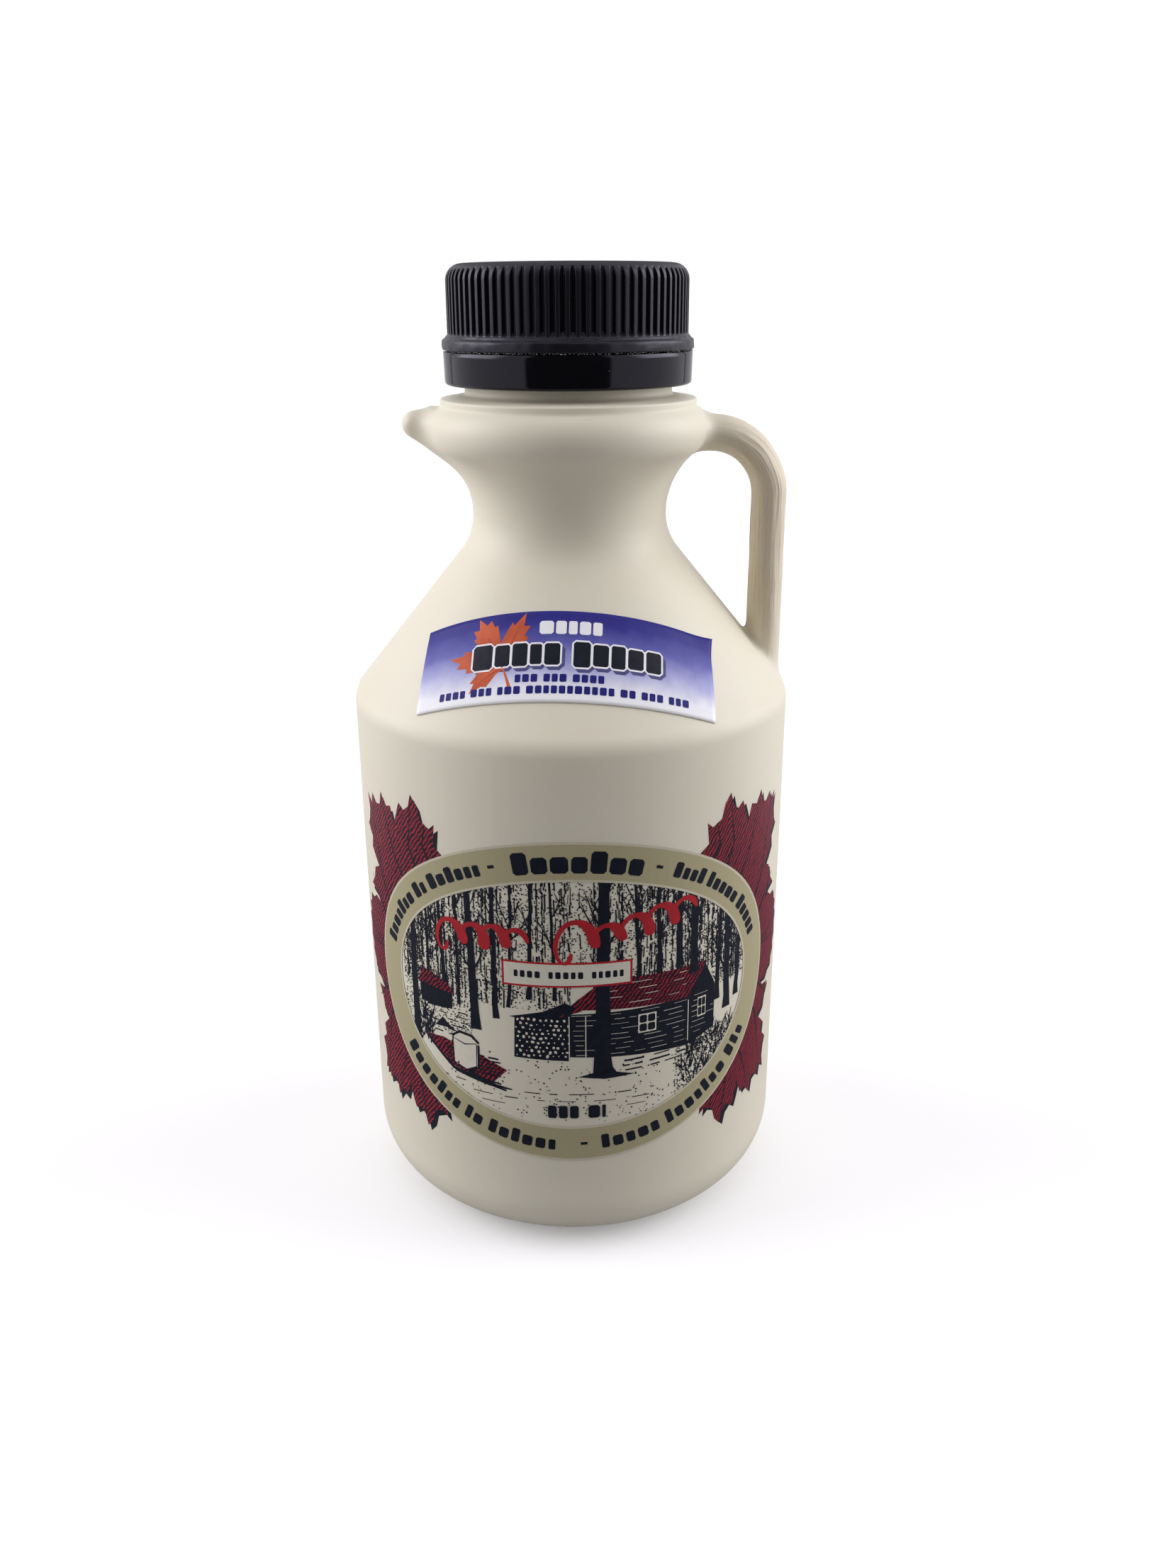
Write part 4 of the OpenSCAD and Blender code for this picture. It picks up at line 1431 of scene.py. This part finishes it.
def makeStickerSheet(s, material):
    columns, rowCount = s["columns"], s["rows"]
    wide = columns + 1
    flat = [(s["width"] * (i / columns - 0.5), s["height"] * (j / rowCount - 0.5))
            for j in range(rowCount + 1) for i in range(wide)]
    count = len(flat)
    top = [(j * wide + i, j * wide + i + 1, (j + 1) * wide + i + 1, (j + 1) * wide + i)
           for j in range(rowCount) for i in range(columns)]
    rim = list(range(columns)) + [j * wide + columns for j in range(rowCount)]
    rim += [rowCount * wide + i for i in range(columns, 0, -1)] + [j * wide for j in range(rowCount, 0, -1)]
    sides = [(b, a, a + count, b + count) for a, b in zip(rim, rim[1:] + rim[:1])]
    points = [onShoulder(u, v, level) for level in (s["thickness"], 0) for u, v in flat]
    faces = top + [tuple(i + count for i in reversed(f)) for f in top] + sides
    uvs = [(u / uvSpan, v / uvSpan) for u, v in flat] * 2
    piece = newMesh("stickerSheet", np.array(points) * mm, faces, material, uvs)
    piece.data.polygons.foreach_set("use_smooth", [k < len(top) for k in range(len(faces))])
    return piece


def smallLeaf(centre, size, turn):
    # a plain maple leaf; half of it goes from the tip to the stem as (angle from the tip, reach)
    half = [(0, 1.0), (6, 0.80), (13, 0.86), (16, 0.70), (21, 0.72), (27, 0.36), (38, 0.62), (42, 0.78),
            (46, 0.72), (53, 1.02), (59, 0.78), (66, 0.84), (69, 0.64), (77, 0.66), (84, 0.42), (92, 0.52),
            (97, 0.66), (102, 0.60), (109, 0.80), (117, 0.56), (127, 0.52), (140, 0.24), (180, 0.17)]
    turns = [(math.radians(a), size * r) for a, r in [(-a, r) for a, r in half[:0:-1]] + half[:-1]]
    return turned([(r * math.sin(a), r * math.cos(a)) for a, r in turns], centre, turn)


def clipTop(points, limit):
    return [(x, min(y, limit)) for x, y in points]


def makeStickerPrint(s):
    rng = random.Random(s["seed"])
    base = s["thickness"] + printSettings["skin"]
    centre, turn, size = s["leafMiddle"], math.radians(s["leafTurn"]), s["leafSize"]
    limit = s["height"] / 2 - 0.02
    stem = stroke([(0.0, -1.0), (-0.2, -3.2), (-0.5, -5.0)], [0.3, 0.36, 0.6])
    leaf = [(clipTop(smallLeaf(centre, size, turn), limit), [], base + 0.006),
            (turned(stem, centre, turn), [], base + 0.006)]
    veins = []
    for lobe, reach in ((0, 0.88), (53, 0.9), (-53, 0.9), (109, 0.68), (-109, 0.68)):
        angle = math.radians(lobe)
        x, y = size * reach * math.sin(angle), size * reach * math.cos(angle)
        path = turned([(0, -1.2), (x * 0.5, y * 0.5 - 0.3), (x, y)], centre, turn)
        veins.append((clipTop(stroke(path, [0.34, 0.22, 0.08]), limit), [], base + 0.008))
    # large violet blocks with a white halo and a soft shadow, each a hair above the one before
    dark, halo, shade = [], [], []
    place = -15.4
    for k, width in enumerate((3.4, 2.5, 2.5, 1.9, 2.5, 0, 2.7, 2.5, 2.3, 2.6, 2.6)):
        if not width:  # a gap between two groups
            place += 1.7
            continue
        tall = 4.4 if k in (0, 6) else 3.5 + 0.25 * (k % 3)
        x, y, climb = place + width / 2, 0.35, 0.0004 * k
        dark.append((block((x, y), width, tall, 0.0, 0.25), [], base + 0.020))
        halo.append((block((x, y), width + 0.6, tall + 0.6), [], base + 0.014 + climb))
        shade.append((block((x + 0.4, y - 0.5), width + 0.8, tall + 0.8, 0.0, 0.5), [], base + 0.001 + climb))
        place += width + 0.42
    white = blockRow(-4.4, 5.0, ((2.3, 1.7, 1.4, 1.8, 1.5),), 2.3, 0.34, 0, base + 0.016, 0.3)
    small = []
    for left, counts, middle in ((-8.0, (3, 3, 4), -3.75), (-21.0, (4, 3, 3, 11, 2, 3, 3), -5.75)):
        words = randomWords(rng, 0.86, 1.14, *counts)
        small += blockRow(left, middle, words, 1.35, 0.31, 0.7, base + 0.018, 0.3)
    leafInk = ink("inkOrange", (0.72, 0.16, 0.06), (0.50, 0.085, 0.035), 16)
    veinInk = ink("inkRust", (0.40, 0.06, 0.03), (0.50, 0.10, 0.05), 60)
    violetInk = ink("inkViolet", (0.012, 0.012, 0.16), (0.02, 0.02, 0.20), 60)
    whiteInk = ink("inkWhite", (0.97, 0.97, 0.97), (0.92, 0.92, 0.94), 60)
    shadeInk = ink("inkShade", (0.07, 0.07, 0.20), (0.11, 0.11, 0.27), 40)
    printed((("stickerShade", shade, shadeInk), ("stickerLeaf", leaf, leafInk),
             ("stickerVeins", veins, veinInk), ("stickerHalo", halo, whiteInk),
             ("stickerMarks", dark, inkNavy), ("stickerWhite", white, whiteInk),
             ("stickerSmall", small, violetInk)), "sticker", onShoulder)


sticker = makeStickerSheet(stickerSettings, paperMaterial(stickerSettings))
finished(sticker, "sticker", "sticker")
makeStickerPrint(stickerSettings)
print("sticker made")

# Dust on the cap and the band, and frayed bits in the slit that are coloured pale as painted highlights along
# it: how many grains, how big and how long
dustAndHighlightSettings = {
    "cap": (95, 0.055, 1.0),
    "band": (38, 0.055, 1.0),
    "slit": (220, 0.045, 3.2),
    "slitColumns": 120,
    "pale": (0.8, 0.79, 0.77),
    "grey": (0.45, 0.45, 0.46),
}


def speckTree():
    # Scatters small uneven grains over a surface and leaves only the grains
    inputs = [("Density", "Float"), ("Size", "Float"), ("Length", "Float"), ("Seed", "Int")]
    tree, given, sockets = newGeometryTree("specks", inputs)
    points = addNode(tree, "GeometryNodeDistributePointsOnFaces", {
        "Mesh": given["Geometry"], "Density": given["Density"], "Seed": given["Seed"]})
    grain = addNode(tree, "GeometryNodeMeshIcoSphere", {"Radius": given["Size"], "Subdivisions": 1})
    size = addNode(tree, "FunctionNodeRandomValue", {0: (0.4, 0.4, 0.3), 1: (1.4, 1.0, 0.8),
                                                     "Seed": given["Seed"]}, data_type="FLOAT_VECTOR")
    stretch = addNode(tree, "ShaderNodeCombineXYZ", {0: given["Length"], 1: 1.0, 2: 1.0})
    scale = addNode(tree, "ShaderNodeVectorMath", {0: size.outputs[0], 1: stretch.outputs[0]},
                    operation="MULTIPLY")
    put = addNode(tree, "GeometryNodeInstanceOnPoints", {
        "Points": points.outputs[0], "Instance": grain.outputs[0],
        "Rotation": points.outputs["Rotation"], "Scale": scale.outputs[0]})
    endGeometryTree(tree, given, put.outputs[0])
    return tree, sockets


def paleDustAndSlitHighlight(s):
    # pale grains: real dust on the cap and the band, and painted highlights on the bits in the slit
    material, tree, shader = newMaterial("paleDustAndSlitHighlight", Roughness=0.8, Specular_IOR_Level=0.2)
    grain = noiseField(tree, objectCoords(tree), 900)
    dress(tree, shader, blendColour(tree, grain, s["pale"], s["grey"]))
    return material


def addSpecks(name, mesh, grains, seed, slot):
    number, size, length = grains
    area = sum(p.area for p in mesh.polygons)
    piece = bpy.data.objects.new(name, mesh.copy())
    scene.collection.objects.link(piece)
    applyNodes(piece, specks, speckSockets, {"Density": number / area, "Size": size * mm, "Length": length,
                                             "Seed": seed, "Finish": dustAndHighlightMaterial})
    finished(piece, slot)


def slitSurface(columns):
    # a narrow strip round the band's upper edge, over the front half of it
    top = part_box("cap")[0].z / mm
    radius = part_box("tamper_band")[1].x / mm
    strip = []
    for k in range(columns + 1):
        a = math.radians(180 + 180 * k / columns)
        x, y = radius * math.cos(a), radius * math.sin(a)
        strip += [(x * share * mm, y * share * mm, z * mm) for share, z in ((0.997, top - 0.2), (0.995, top))]
    faces = [(2 * k, 2 * k + 2, 2 * k + 3, 2 * k + 1) for k in range(columns)]
    mesh = bpy.data.meshes.new("slit")
    mesh.from_pydata(strip, [], faces)
    return mesh


specks, speckSockets = speckTree()
dustAndHighlightMaterial = paleDustAndSlitHighlight(dustAndHighlightSettings)
addSpecks("capDust", cap.data, dustAndHighlightSettings["cap"], 4, "cap")
addSpecks("bandDust", band.data, dustAndHighlightSettings["band"], 9, "tamper_band")
# the bits in the slit are frayed plastic coloured pale, as painted highlights along the slit
addSpecks("slitFrayAndHighlight", slitSurface(dustAndHighlightSettings["slitColumns"]), dustAndHighlightSettings["slit"], 2, "tamper_band")
print("dust laid")
